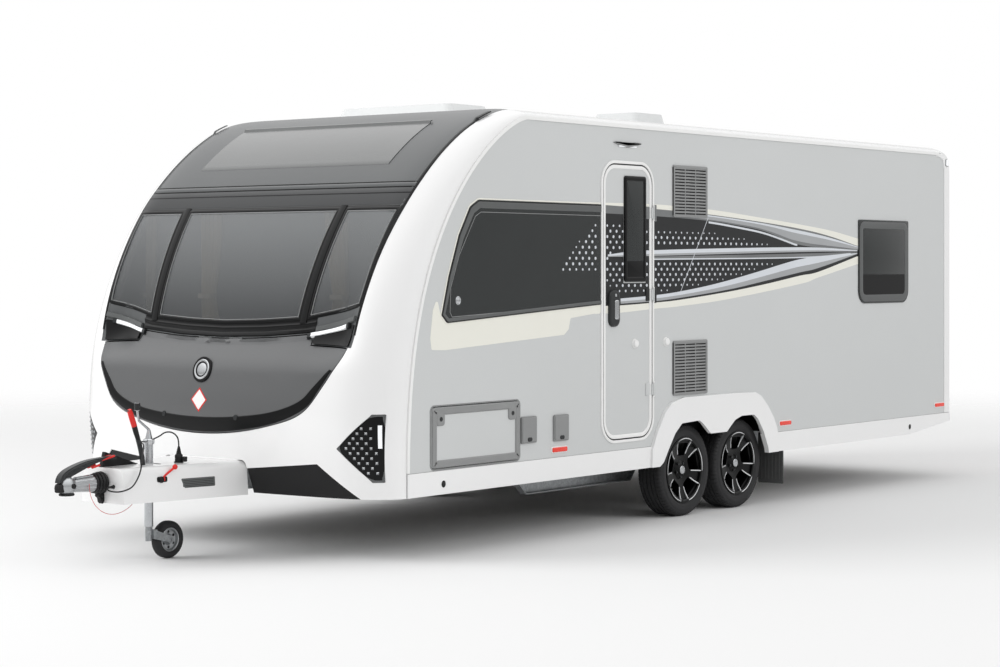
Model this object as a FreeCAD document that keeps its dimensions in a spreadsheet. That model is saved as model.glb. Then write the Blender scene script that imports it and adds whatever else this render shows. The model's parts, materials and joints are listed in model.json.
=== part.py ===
import FreeCAD, Part
import os
from math import atan2, cos, hypot, pi, radians, sin, tan

# Travel caravan with two axles, in millimetres.
# +X is the door side, -Y the towing end and +Z up. The origin lies on the ground, under the
# middle of the overall box.

Vector = FreeCAD.Vector
os.makedirs("parts", exist_ok=True)
doc = FreeCAD.newDocument("caravan")
sheet = doc.addObject("Spreadsheet::Sheet", "Sizes")

SIZES = {
    # body shell: what stands above the foot height is stretched with the rail's height
    "wall_plane": 1205, "wall_gauge": 30, "rail_height": 2490, "crown_rise": 55,
    "crown_height": "=rail_height + crown_rise", "foot_height": 1300,
    "roof_front": -1480, "shell_gauge": 30, "corner_start": 0.75,
    # front end: how far the nose reaches and how high, and where its side edge runs
    "nose_reach": -2945, "nose_height": 820, "edge_reach": -2565, "chin_height": 353,
    "chin_tuck": 100, "window_setback": 100, "fan_height": 1000,
    # rear end: the roof, walls, chassis and rear windows all end a set way before its reach
    "rear_reach": 3985, "rear_bow": 8, "rear_edge_reach": "=rear_reach - rear_bow",
    "rear_arch": 200, "roof_rear": "=rear_reach - rear_arch", "rear_corner_start": 0.955,
    "rear_low": 420, "knee_drop": 200, "rear_knee": "=rail_height - knee_drop",
    "bumper_low": 424, "bumper_high": 590, "bumper_half": 1195,
    # floor and chassis
    "sill_height": 485, "floor_gauge": 45, "rail_outer": 875, "rail_width": 45,
    "rail_under": 330, "rail_deep": 232, "rail_gauge": 5, "rail_front": -2300,
    "rail_tail": "=rear_reach - 285", "deep_front": -1150, "deep_rear": 80, "slope_run": 110,
    # wheels and suspension
    "tyre_radius": 298, "tyre_width": 185, "track_half": 1057.5, "rim_radius": 213,
    "axle_front_y": 307, "axle_rear_y": 959, "arm_length": 150, "tube_height": 385,
    "tube_radius": 45, "spindle_radius": 20, "arm_gauge": 32, "running_fit": 0.05,
    # skirts and arches
    "skirt_under": 353, "skirt_outer": 1213, "skirt_gauge": 20, "skirt_front": "=edge_reach + 8",
    "skirt_rear": "=rear_reach - 12", "skirt_rise": 673, "arch_outer": 1227,
    # entrance door
    "door_front": -703, "door_rear": -177, "door_sill": 555, "door_head": 2240,
    "door_corner": 120, "door_gap": 6, "hinge_out": 14, "hinge_back": 7,
    "barrel_radius": 7, "barrel_length": 80,
    # side hatch
    "hatch_front": -2350, "hatch_rear": -1552, "hatch_low": 500, "hatch_high": 835,
    "hatch_corner": 22, "hatch_gap": 5,
    # front locker
    "lid_gap": 6, "lid_hinge_z": 1208, "lid_hinge_inset": 5, "knuckle_radius": 6,
    "pin_radius": 3, "bulkhead_y": -2330, "shelf_height": 1262,
    # drawbar and jockey wheel
    "coupling_tip": -3990, "ball_y": -3915, "coupling_height": 455, "ball_socket_radius": 25.2,
    "draw_tube_y": -3780, "draw_tube_radius": 26, "leg_height": 110, "leg_width": 50,
    "leg_under": 375, "leg_tip": -3620, "leg_tip_x": 62, "leg_root_x": 702, "leg_root_y": -1275,
    "bellows_length": 100, "ball_socket_depth": 30,
    "cover_front": -3660, "cover_rear": -2872, "cover_front_half": 165, "cover_rear_half": 316,
    "cover_top": 535, "cover_under": 345, "cover_lean": 12,
    "jockey_y": -3325, "jockey_trail": 140, "jockey_wheel_radius": 104,
    "jockey_wheel_width": 58, "jockey_tube_radius": 24, "swivel_radius": 12,
    "post_low": 188, "post_high": 667,
    # corner steadies
    "steady_across": 940, "steady_pivot": 430, "steady_length": 385, "steady_front_y": -1800,
    "steady_rear_y": "=rear_reach - 785", "steady_pin": 8,
    # roof lights and rear windows
    "low_light_rise": 68, "high_light_rise": 155, "light_sink": 20, "window_front": 1461,
    "window_rear": 730,
    # gap that keeps a seated curved face clear, and the fit of a post in its clamp
    "ease": 0.3, "slide_fit": 0.1,
}
for number, (alias, value) in enumerate(SIZES.items(), start=1):
    sheet.set("A%d" % number, str(value))
    sheet.setAlias("A%d" % number, alias)
doc.recompute()


class Values:
    """Reads each size back from the sheet, so that a changed cell changes the model."""

    def __getattr__(self, alias):
        return float(sheet.get(alias))


v = Values()
NODES = []
SIDES = {"near": 1, "off": -1}


def lift(height):
    """A height of the standard body, moved with the rail when it stands above the foot height."""
    foot, standard_rail = v.foot_height, 2490
    if height <= foot:
        return height
    return foot + (height - foot) * (v.rail_height - foot) / (standard_rail - foot)


def lifted(points):
    return [(place, lift(height)) for place, height in points]


def keep(thing, label):
    """Name a finished sub-part. Its label is its file's name."""
    thing.Label = label
    NODES.append(thing)
    return thing


def feature(label, shape):
    """Hold a shape made with the geometry functions below."""
    thing = doc.addObject("Part::Feature", label)
    thing.Shape = shape
    thing.Placement = shape.Placement
    return keep(thing, label)


# Outlines in a plane

def rounded(points, radius=0.0):
    """A closed outline of straight runs with an arc at each corner that has a radius."""
    count = len(points)
    radii = list(radius) if isinstance(radius, (list, tuple)) else [radius] * count
    places = [Vector(a, b, 0) for a, b in points]
    starts, ends, curves = [], [], []
    for index, (place, size) in enumerate(zip(places, radii)):
        back = (places[index - 1] - place).normalize()
        ahead = (places[(index + 1) % count] - place).normalize()
        half = back.getAngle(ahead) / 2
        cut = size / tan(half)
        starts.append(place + back * cut)
        ends.append(place + ahead * cut)
        if size > 0:
            bisector = (back + ahead).normalize()
            middle = place + bisector * (size / sin(half) - size)
            curves.append(Part.Arc(starts[-1], middle, ends[-1]))
    for index in range(count):
        after = (index + 1) % count
        if (starts[after] - ends[index]).Length > 1e-6:
            curves.append(Part.LineSegment(ends[index], starts[after]))
    return curves


def rectangle(low_a, low_b, high_a, high_b, radius=0.0):
    return rounded([(low_a, low_b), (high_a, low_b), (high_a, high_b), (low_a, high_b)], radius)


def run(points):
    """Straight runs through points, left open."""
    places = [Vector(a, b, 0) for a, b in points]
    return [Part.LineSegment(one, two) for one, two in zip(places, places[1:])]


def curve(points):
    """One smooth curve through points."""
    line = Part.BSplineCurve()
    line.interpolate([Vector(a, b, 0) for a, b in points])
    return line


PLANES = {
    "XY": FreeCAD.Placement(),
    "YZ": FreeCAD.Placement(Vector(), FreeCAD.Rotation(Vector(1, 1, 1), 120)),
    "XZ": FreeCAD.Placement(Vector(), FreeCAD.Rotation(Vector(1, 0, 0), 90)),
}


def pad(label, plane, outlines, start, length, placement=None):
    """A body whose sketch lies at start along the plane's normal and is padded by length."""
    body = doc.addObject("PartDesign::Body", label)
    sketch = body.newObject("Sketcher::SketchObject", label + "_sketch")
    role = plane + "_Plane"
    origin = next(item for item in body.Origin.OriginFeatures if item.Role == role)
    sketch.AttachmentSupport = [(origin, "")]
    sketch.MapMode = "FlatFace"
    sketch.setExpression("AttachmentOffset.Base.z", start)
    for outline in outlines:
        for piece in outline:
            sketch.addGeometry(piece, False)
    feature_pad = body.newObject("PartDesign::Pad", label + "_pad")
    feature_pad.Profile = sketch
    feature_pad.setExpression("Length", length)
    if placement:
        body.Placement = placement
    return keep(body, label)


def prism(plane, outlines, low, high):
    """A plain solid between two distances along the plane's normal."""
    wires = [Part.Wire(Part.__sortEdges__([piece.toShape() for piece in outline]))
             for outline in outlines]
    face = Part.makeFace(wires, "Part::FaceMakerBullseye")
    face = face.transformed(PLANES[plane].toMatrix())
    normal = PLANES[plane].Rotation.multVec(Vector(0, 0, 1))
    face.translate(normal * low)
    return face.extrude(normal * (high - low))


def block(low, high):
    size = [b - a for a, b in zip(low, high)]
    return Part.makeBox(size[0], size[1], size[2], Vector(*low))


def across(x, y, z, radius, length):
    """A round bar along X from x."""
    return Part.makeCylinder(radius, length, Vector(x, y, z), Vector(1, 0, 0))


def upright(x, y, z, radius, length):
    return Part.makeCylinder(radius, length, Vector(x, y, z), Vector(0, 0, 1))


def other_side(shape):
    return shape.mirror(Vector(), Vector(1, 0, 0))


def both_sides(shape):
    return Part.makeCompound([shape, other_side(shape)])


# The two ends of the shell: each is a family of flat sections that run across the body, from a
# point on the centre line to a point on the side edge.

def arc_point(angle, base, tip, upright_power, level_power):
    """A point on a rounded quarter outline from tip (angle 0) up to base (a quarter turn)."""
    level = (cos(angle) ** 2) ** (1 / level_power)
    rise = (sin(angle) ** 2) ** (1 / upright_power)
    return base[0] + (tip[0] - base[0]) * level, tip[1] + (base[1] - tip[1]) * rise


def search(function, target, low, high):
    """Where a rising function meets the target."""
    for _ in range(50):
        middle = (low + high) / 2
        if function(middle) < target:
            low = middle
        else:
            high = middle
    return (low + high) / 2


def front_centre(angle):
    return arc_point(angle, (v.roof_front, v.crown_height), (v.nose_reach, v.nose_height),
                     1.64, 1.6)


def front_edge(angle):
    return arc_point(angle, (v.roof_front, v.rail_height), (v.edge_reach, v.chin_height),
                     2.72, 1.4)


def at_height(outline, height):
    return outline(search(lambda angle: outline(angle)[1], height, 0, pi / 2))


def at_fan(outline, turn):
    """Where a ray that fans out from under the roof's front meets the outline."""
    def bearing(angle):
        y, z = outline(angle)
        return atan2(z - v.fan_height, v.roof_front - y)
    return outline(search(bearing, turn, 0, pi / 2))


def front_section(station):
    """The two ends of a section. A negative station is millimetres below the fan's height."""
    if station >= 0:
        return at_fan(front_centre, station), at_fan(front_edge, station)
    height = v.fan_height + station
    if height > v.nose_height:
        reach = at_height(front_centre, height)[0]
    else:
        drop = (v.nose_height - height) / (v.nose_height - v.chin_height)
        reach = v.nose_reach + v.chin_tuck * drop * drop
    return (reach, height), (at_height(front_edge, height)[0], height)


def rear_section(station):
    """The same at the rear, where a negative station is millimetres below the knee."""
    knee = v.rear_knee
    if station < 0:
        return (v.rear_reach, knee + station), (v.rear_edge_reach, knee + station)
    centre = arc_point(station, (v.roof_rear, v.crown_height), (v.rear_reach, knee), 3.2, 3.2)
    edge = arc_point(station, (v.roof_rear, v.rail_height), (v.rear_edge_reach, knee), 3.6, 3.6)
    return centre, edge


def smooth(share):
    share = max(0.0, min(1.0, share))
    return share * share * (3 - 2 * share)


def front_bow(height):
    """How strongly a section is bowed: gently at the roof, more at the locker."""
    return max(0.05, min(0.36, 0.05 + (lift(2000) - height) * 0.00027))


def window_recess(height, share):
    """The windows stand back from the nose: most just above the locker, fading to the roof."""
    low, high = 1260, lift(2060)
    rise = smooth((height - 1040) / 200)
    fade = max(0.0, min(1.0, (high - height) / (high - low)))
    aside = 1 - smooth((abs(share) - 0.72) / 0.16)
    return v.window_setback * rise * fade * aside


def spread(fraction, bow, corner):
    """Across the body: the share of the half width, and how far towards the side edge."""
    half = abs(fraction)
    if half <= 0.5:
        share, drop = corner * half / 0.5, 0.0
    else:
        turn = (half - 0.5) * pi
        share, drop = corner + (1 - corner) * sin(turn), 1 - cos(turn)
    toward = bow * share * share + (1 - bow) * drop
    return (share if fraction >= 0 else -share), toward


def level_out(section, station, stations):
    """The direction that faces out of the centre line at a station, in the YZ plane."""
    if station == stations[0]:
        rise = Vector(0, 0, 1)
    elif station == stations[-1]:
        rise = Vector(0, stations_sign(section), 0)
    else:
        step = 1.0 if station < 0 else 1e-3
        low, high = section(station - step)[0], section(station + step)[0]
        rise = Vector(0, high[0] - low[0], high[1] - low[1]).normalize()
    return rise


def stations_sign(section):
    """Going up the sections leads towards the middle of the roof: +Y in front, -Y behind."""
    return 1 if section is front_section else -1


def place_on(section, stations, fraction, station, depth, bow, corner):
    """A point of an end's surface, or of the one that lies depth inside it."""
    centre, edge = section(station)
    rise = level_out(section, station, stations)
    ahead = -stations_sign(section)
    share, toward = spread(fraction, bow, corner)
    centre_y = centre[0] - ahead * rise.z * depth
    centre_z = centre[1] - abs(rise.y) * depth
    return Vector(share * (v.wall_plane - depth), centre_y + (edge[0] - centre_y) * toward,
                  centre_z + (edge[1] - centre_z) * toward)


def front_place(fraction, station, depth):
    height = front_section(station)[0][1]
    spot = place_on(front_section, FRONT_STATIONS, fraction, station, depth, front_bow(height),
                    v.corner_start)
    spot.y += window_recess(height, spot.x / (v.wall_plane - depth))
    return spot


def rear_place(fraction, station, depth):
    tight = v.rear_corner_start
    corner = tight + (v.corner_start - tight) * smooth(station / (pi / 2))
    return place_on(rear_section, REAR_STATIONS, fraction, station, depth, 0.05, corner)


def across_body(half):
    """Grid fractions from one side edge to the other, from those of one half."""
    return [-fraction for fraction in reversed(half[1:])] + half


FRONT_COLUMNS = across_body([0, 0.12, 0.25, 0.37, 0.5, 0.6, 0.7, 0.78, 0.86, 0.93, 1])
REAR_COLUMNS = across_body([0.0625 * step for step in range(9)] + [0.67, 0.84, 1])


def front_stations():
    low = v.chin_height - v.fan_height
    under = [low * share for share in (1, 0.83, 0.66, 0.49, 0.32, 0.15)]
    nose = [0.03 * step for step in range(9)]
    return under + nose + [0.24 + (pi / 2 - 0.24) * step / 13 for step in range(1, 14)]


def rear_stations():
    """Nearly even sections, since uneven ones would make the surface ripple."""
    low, straight, turn = v.rear_low - v.rear_knee, 26, 10
    return ([low * (1 - step / straight) for step in range(straight)]
            + [pi / 2 * step / turn for step in range(turn + 1)])


FRONT_STATIONS = front_stations()
REAR_STATIONS = rear_stations()


def skin(place, stations, columns, outer, inner):
    """The solid between two depths of an end's surface, closed along its four borders."""
    surfaces = []
    for depth in (outer, inner):
        surface = Part.BSplineSurface()
        surface.interpolate([[place(fraction, station, depth) for fraction in columns]
                             for station in stations])
        surfaces.append(surface)
    faces = [surface.toShape() for surface in surfaces]
    for border in (lambda s: s.uIso(s.bounds()[0]), lambda s: s.uIso(s.bounds()[1]),
                   lambda s: s.vIso(s.bounds()[2]), lambda s: s.vIso(s.bounds()[3])):
        one, two = (border(surface).toShape() for surface in surfaces)
        faces.append(Part.makeRuledSurface(one, two))
    shell = Part.makeShell(faces)
    shell.sewShape()
    solid = Part.makeSolid(shell)
    if solid.Volume < 0:
        solid.reverse()
    return solid


def front_skin(outer, inner):
    return skin(front_place, FRONT_STATIONS, FRONT_COLUMNS, -outer, -inner)


def rear_skin(outer, inner):
    return skin(rear_place, REAR_STATIONS, REAR_COLUMNS, -outer, -inner)


def front_reach(x, height, inset):
    """How far forward the surface that lies inset behind the front stands."""
    share = abs(x) / (v.wall_plane - inset)
    corner = v.corner_start
    if share <= corner:
        fraction = share / corner * 0.5
    else:
        fraction = 0.5 + search(sin, min(1, (share - corner) / (1 - corner)), 0, pi / 2) / pi
    if height <= v.fan_height:
        return front_place(fraction, height - v.fan_height, inset).y
    turn = search(lambda station: front_place(fraction, station, inset).z, height, 0, pi / 2)
    return front_place(fraction, turn, inset).y


# Panels of the front, as outlines seen from ahead: X across and Z up.

DARK_EDGE = lifted([(1075, 2520), (1060, 2397), (1056, 2200), (1050, 1958), (1032, 1719),
                    (1014, 1411)])
LID_SIDE = [(955, 1165), (915, 1050), (847, 944), (761, 838), (561, 752), (291, 700), (0, 682)]
LID_TOP = [(0, 1205), (330, 1213), (660, 1238)]
GLASS_TOP = lift(1945)


def lid_outline(grow):
    """The locker lid: a shallow sagging top, a step under each lamp and a deep rounded bowl."""
    top = [(x, z + grow) for x, z in LID_TOP]
    bowl = []
    for x, z in LID_SIDE:
        away = hypot(x, z - 1230)
        bowl.append((x * (1 + grow / away), z + (z - 1230) * grow / away))
    bowl[0] = (LID_SIDE[0][0] + grow, LID_SIDE[0][1] + grow)
    step = (top[-1][0] + 22 + grow, LID_SIDE[0][1] + 12 + grow)
    right = bowl[0]
    left = (-right[0], right[1])
    curves = [curve([(-x, z) for x, z in reversed(top[1:])] + top)]
    curves += run([top[-1], step, right])
    curves.append(curve(bowl + [(-x, z) for x, z in reversed(bowl[:-1])]))
    curves += run([left, (-step[0], step[1]), (-top[-1][0], top[-1][1])])
    return curves


def dark_outline():
    """The dark front: from the lid's top corners up both sides and over the roof's front."""
    low_corner = (990, 1172)
    right = [low_corner] + DARK_EDGE[::-1]
    head = v.crown_height + 155
    curves = [curve(right), curve([(-x, z) for x, z in right])]
    top = right[-1]
    curves += run([top, (top[0], head), (-top[0], head), (-top[0], top[1])])
    curves += run([(-low_corner[0], low_corner[1]), low_corner])
    return curves


def centre_pane():
    low = lifted([(566, 1318), (283, 1300), (0, 1292)])
    bottom = low + [(-x, z) for x, z in reversed(low[:-1])]
    return [curve(bottom)] + run([bottom[-1], (-598, GLASS_TOP), (598, GLASS_TOP), bottom[0]])


def side_pane(side):
    corners = lifted([(616, 1323), (1000, 1400), (1008, 1500)])
    corners += [(1030, GLASS_TOP), (648, GLASS_TOP)]
    return rounded([(side * x, z) for x, z in corners], (8, 25, 0, 8, 8))


def marker_outline(side):
    return rounded([(side * x, z) for x, z in
                    [(690, 1192), (960, 1180), (985, 1300), (800, 1272), (700, 1262)]], 6)


def corner_outline(side):
    return rounded([(side * x, z) for x, z in
                    [(948, 629), (1109, 447), (1157, 447), (1166, 815), (1118, 815)]], 6)


def intake_outline(side):
    """The lower black panel, open below the chin."""
    low = v.chin_height - 10
    return rounded([(side * x, z) for x, z in
                    [(285, 490), (815, 540), (1054, low), (300, low)]], (6, 6, 0, 0))


def lid_hinge_spans():
    """Where along X each lid hinge's middle knuckle runs, and the two beside it."""
    middle = []
    beside = []
    for side in (1, -1):
        for start, width, group in ((100, 40, middle), (70, 29, beside), (141, 29, beside)):
            group.append((side * start if side > 0 else side * (start + width), width))
    return middle, beside


def lid_knuckles(spans):
    """Hinge barrels along the lid's top edge."""
    y = front_reach(0, v.lid_hinge_z, 0) + v.lid_hinge_inset
    return [across(start, y, v.lid_hinge_z, v.knuckle_radius, width) for start, width in spans]


def knuckle_room(spans, low, high):
    """The notch that a knuckle turns in, cut from the edge of the other panel."""
    return [block((start - 1, -3000, low), (start + width + 1, -2600, high))
            for start, width in spans]


def front_panels():
    ahead, behind = 3200, -1000     # past both faces, along the XZ plane's normal
    shell = front_skin(0, -v.shell_gauge)
    dark = prism("XZ", [dark_outline()], behind, ahead)
    lid_hole = prism("XZ", [lid_outline(v.lid_gap)], behind, ahead)
    panes = [prism("XZ", [outline], behind, ahead)
             for outline in (centre_pane(), side_pane(1), side_pane(-1))]
    low_holes = [prism("XZ", [outline(side)], behind, ahead)
                 for outline in (corner_outline, intake_outline) for side in (1, -1)]
    way = prism("XZ", [rectangle(-v.cover_rear_half - 4, v.chin_height - 20,
                                 v.cover_rear_half + 4, v.cover_top + 4, 30)], behind, ahead)
    feature("front_moulding", shell.cut(dark.fuse(lid_hole)).cut(
        Part.makeCompound(low_holes + [way])))
    middle, beside = lid_hinge_spans()
    low, high = v.lid_hinge_z - v.knuckle_radius - 2, v.lid_hinge_z + v.knuckle_radius + 2
    upper = shell.common(dark).cut(lid_hole).cut(
        Part.makeCompound(panes + knuckle_room(middle, 1100, high)))
    hinge_y = front_reach(0, v.lid_hinge_z, 0) + v.lid_hinge_inset
    pins = [across(side * 120 - 45, hinge_y, v.lid_hinge_z, v.pin_radius, 90)
            for side in (1, -1)]
    feature("front_upper_panel", upper.fuse(lid_knuckles(beside) + pins).removeSplitter())
    glass = front_skin(2, -20)
    feature("front_windows", Part.makeCompound([glass.common(pane) for pane in panes]))
    lid = shell.common(prism("XZ", [lid_outline(0)], behind, ahead))
    lid = lid.cut(Part.makeCompound(knuckle_room(beside, low, 1300)))
    lid = lid.fuse(lid_knuckles(middle))
    hinge_bores = [across(start - 1, hinge_y, v.lid_hinge_z, v.pin_radius + v.running_fit,
                          width + 2) for start, width in middle]
    feature("locker_lid", lid.cut(Part.makeCompound(hinge_bores)))
    marker = front_skin(16, 0).common(prism("XZ", [marker_outline(-1)], behind, ahead))
    well = front_skin(-4, -28).common(prism("XZ", [corner_outline(-1)], behind, ahead))
    feature("front_lamps", Part.makeCompound([marker, other_side(marker), well,
                                              other_side(well)]))
    grille = front_skin(-8, -28).common(prism("XZ", [intake_outline(-1)], behind, ahead))
    feature("front_grilles", both_sides(grille.cut(way)))


# Roof, floor, rear end

def roof_line(depth):
    """The roof's section, as the front's last section has it, at a depth."""
    places = [front_place(fraction, pi / 2, depth) for fraction in FRONT_COLUMNS]
    return [(place.x, place.z) for place in places]


def roof():
    outer, inner = roof_line(0), roof_line(v.shell_gauge)
    curves = [curve(outer), curve(inner)]
    curves += run([outer[0], inner[0]]) + run([outer[-1], inner[-1]])
    pad("roof_panel", "XZ", [curves], "-Sizes.roof_rear", "Sizes.roof_rear - Sizes.roof_front")


def rear_panel():
    shell = rear_skin(0, -v.shell_gauge)
    holes = [through_rear(rear_lamp_outline(side)) for side in (1, -1)]
    feature("rear_panel", shell.cut(Part.makeCompound(holes)))
    lamps = [rear_skin(6, -24).common(hole) for hole in holes]
    feature("rear_lamps", Part.makeCompound(lamps))


def through_rear(outline):
    """A prism through the rear end, from its corners' depth to beyond its reach."""
    spare = 115
    return prism("XZ", [outline], -v.rear_reach - spare, -v.roof_rear + spare)


def rear_lamp_outline(side):
    return rounded([(side * x, z) for x, z in
                    [(880, 640), (1120, 640), (1120, 1010), (1010, 1040), (880, 900)]], 25)


def wheel_bay():
    """The space over the wheels on one side: front, rear, inner face and top."""
    return v.axle_front_y - 420, v.axle_rear_y + 385, v.track_half - 130, 690


def floor():
    front, rear, inner, _ = wheel_bay()
    inside = v.wall_plane - v.wall_gauge
    outline = [(-inside, v.bulkhead_y), (inside, v.bulkhead_y), (inside, front), (inner, front),
               (inner, rear), (inside, rear), (inside, v.rear_edge_reach - 45),
               (-inside, v.rear_edge_reach - 45), (-inside, rear), (-inner, rear),
               (-inner, front), (-inside, front)]
    pad("floor_panel", "XY", [rounded(outline)], "Sizes.sill_height", "Sizes.floor_gauge")


def wheel_boxes():
    front, rear, inner, top = wheel_bay()
    inside = v.wall_plane - v.wall_gauge
    gauge = 4
    low = v.sill_height
    outer = block((inner, front, low), (inside, rear, top))
    hollow = block((inner + gauge, front + gauge, low - 1), (inside + 1, rear - gauge, top - gauge))
    feature("wheel_boxes", both_sides(outer.cut(hollow)))


def front_floor():
    """The gas locker's floor and bulkhead, and the shelf that closes its top."""
    inside = v.wall_plane - v.wall_gauge
    low, back = v.sill_height, v.bulkhead_y
    gauge, ahead = 25, v.nose_reach - 20
    shelf_low = v.shelf_height
    base = block((-inside, ahead, low), (inside, back, low + gauge))
    shelf = block((-inside, ahead, shelf_low), (inside, back, shelf_low + 12))
    beyond = front_skin(90, -v.shell_gauge - 2)
    plates = []
    for plate in (base, shelf):
        pieces = plate.cut(beyond).Solids
        plates.append(max(pieces, key=lambda piece: piece.CenterOfMass.y))
    wall = block((-inside, back - 20, low + gauge), (inside, back, shelf_low))
    feature("gas_locker", wall.fuse(plates).removeSplitter())


# Side walls with their openings

def wall_outline():
    inset = 0.5
    low = v.sill_height
    start = search(lambda angle: front_edge(angle)[1], low, 0, pi / 2)
    lead = [front_edge(start + (pi / 2 - start) * step / 12) for step in range(13)]
    lead = [(y + inset, z) for y, z in lead]
    tail = [rear_section(pi / 2 * (1 - step / 8))[1] for step in range(9)]
    tail = [(y - inset, z) for y, z in tail]
    return ([curve(lead), curve(tail)] + run([lead[-1], tail[0]])
            + run([tail[-1], (tail[-1][0], low), lead[0]]))


def lounge_outline(grow):
    """The front side window: a long bow that drops forward, with a level tail."""
    points = lifted([(-2215, 1302), (-1046, 1368), (-790, 1385), (-790, 1990), (-1934, 1990),
                     (-2010, 1950), (-2110, 1790), (-2200, 1560), (-2262, 1345)])
    middle_y, middle_z = -1500, lift(1660)
    grown = [(y + grow * (1 if y > middle_y else -1), z + grow * (1 if z > middle_z else -1))
             for y, z in points]
    return rounded(grown, (28, 0, 45, 45, 60, 40, 0, 0, 30))


def rear_window_outline(grow):
    front, rear = v.rear_reach - v.window_front, v.rear_reach - v.window_rear
    return rectangle(front - grow, lift(1368) - grow, rear + grow, GLASS_TOP + grow, 55 + grow)


def kitchen_window_outline(grow):
    return rectangle(-160 - grow, lift(1420) - grow, 860 + grow, GLASS_TOP + grow, 55 + grow)


def door_outline(grow):
    return rectangle(v.door_front - grow, v.door_sill - grow, v.door_rear + grow,
                     lift(v.door_head) + grow, v.door_corner + grow)


def door_pane_outline(grow):
    return rectangle(-468 - grow, lift(1532) - grow, -256 + grow, lift(2162) + grow, 30 + grow)


def hatch_outline(grow):
    return rectangle(v.hatch_front - grow, v.hatch_low - grow, v.hatch_rear + grow,
                     v.hatch_high + grow, v.hatch_corner + grow)


def arch_opening():
    points = [(-215, 300), (-100, 356), (-64, 378), (2, 468), (68, 552), (148, 612), (352, 620),
              (394, 600), (491, 527), (689, 527), (731, 558), (793, 600), (876, 622), (1031, 622),
              (1082, 592), (1156, 502), (1217, 390), (1240, 300)]
    return rounded(points, (0, 0, 40, 0, 60, 40, 40, 0, 12, 12, 0, 60, 60, 40, 0, 0, 0, 0))


def wall_bay():
    """The wall is cut away behind the arch, over both wheels."""
    return rounded([(-140, 400), (-70, 500), (90, 650), (1050, 655), (1160, 560), (1235, 400)], 0)


def side_walls():
    near = pad("side_wall_near", "YZ",
               [wall_outline(), lounge_outline(0), rear_window_outline(0), door_outline(v.door_gap),
                hatch_outline(v.hatch_gap)],
               "Sizes.wall_plane - Sizes.wall_gauge", "Sizes.wall_gauge")
    off = pad("side_wall_off", "YZ",
              [wall_outline(), lounge_outline(0), kitchen_window_outline(0),
               rear_window_outline(0)],
              "-Sizes.wall_plane", "Sizes.wall_gauge")
    for body, start in ((near, "Sizes.wall_plane"), (off, "-Sizes.wall_plane + Sizes.wall_gauge")):
        cut_through(body, wall_bay(), start, "Sizes.wall_gauge")


def cut_through(body, outline, start, length):
    """A pocket from a sketch on the body's own YZ plane, towards -X."""
    label = body.Label + "_bay"
    sketch = body.newObject("Sketcher::SketchObject", label)
    origin = next(item for item in body.Origin.OriginFeatures if item.Role == "YZ_Plane")
    sketch.AttachmentSupport = [(origin, "")]
    sketch.MapMode = "FlatFace"
    sketch.setExpression("AttachmentOffset.Base.z", start)
    for piece in outline:
        sketch.addGeometry(piece, False)
    doc.recompute()
    before = body.Tip.Shape.Volume
    pocket = body.newObject("PartDesign::Pocket", label + "_pocket")
    pocket.Profile = sketch
    pocket.setExpression("Length", length)
    doc.recompute()
    if pocket.Shape.Volume > before - 1:
        pocket.Reversed = True
        doc.recompute()
    if pocket.Shape.Volume > before - 1:
        raise ValueError(label + " cuts nothing")


def windows():
    outer = v.wall_plane + 7
    near = [prism("YZ", [outline], outer - 30, outer)
            for outline in (lounge_outline(-v.ease), rear_window_outline(-v.ease))]
    off = [other_side(pane) for pane in near]
    off.append(other_side(prism("YZ", [kitchen_window_outline(-v.ease)], outer - 30, outer)))
    feature("side_windows", Part.makeCompound(near + off))


def door():
    inner, outer = v.wall_plane - v.wall_gauge, v.wall_plane
    leaf = prism("YZ", [door_outline(0), door_pane_outline(0)], inner, outer)
    barrel_x, barrel_y = v.wall_plane + v.hinge_out, v.door_rear + v.hinge_back
    radius, length = v.barrel_radius, v.barrel_length
    sill, head = v.door_sill, lift(v.door_head)
    leaves = []
    for low in (sill + 250, (sill + head) / 2, head - 330):
        high = low + length
        barrel = upright(barrel_x, barrel_y, low, radius, length)
        strap = block((outer - 2, v.door_rear - 60, low + 5), (outer + 5, v.door_rear - 1, high - 5))
        ear = block((outer + 1, v.door_rear - 12, low + 5), (barrel_x, barrel_y, high - 5))
        bore = upright(barrel_x, barrel_y, low - 1, v.pin_radius + v.running_fit, length + 2)
        leaf = leaf.fuse([barrel, strap, ear]).cut(bore)
        plate = block((outer, barrel_y + 2, low - 8), (outer + 4, barrel_y + 45, high + 8))
        pin = upright(barrel_x, barrel_y, low - 8, v.pin_radius, length + 16)
        ends = []
        for start in (low - 8, high + 1):
            ends.append(upright(barrel_x, barrel_y, start, radius, 7))
            ends.append(block((outer, barrel_y, start), (barrel_x, barrel_y + 12, start + 7)))
        leaves.append(plate.fuse([pin] + ends).removeSplitter())
    feature("entrance_door", leaf.removeSplitter())
    feature("door_hinges", Part.makeCompound(leaves))
    pane = prism("YZ", [door_pane_outline(-v.ease)], inner + 3, outer + 6)
    feature("door_window", pane)
    grip = prism("YZ", [rectangle(-657, 1242, -600, 1477, 25)], outer, outer + 20)
    feature("door_handle", grip)


def side_hatch():
    inner, outer = v.wall_plane - v.wall_gauge, v.wall_plane
    feature("side_hatch", prism("YZ", [hatch_outline(0)], inner, outer + 4))


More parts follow.
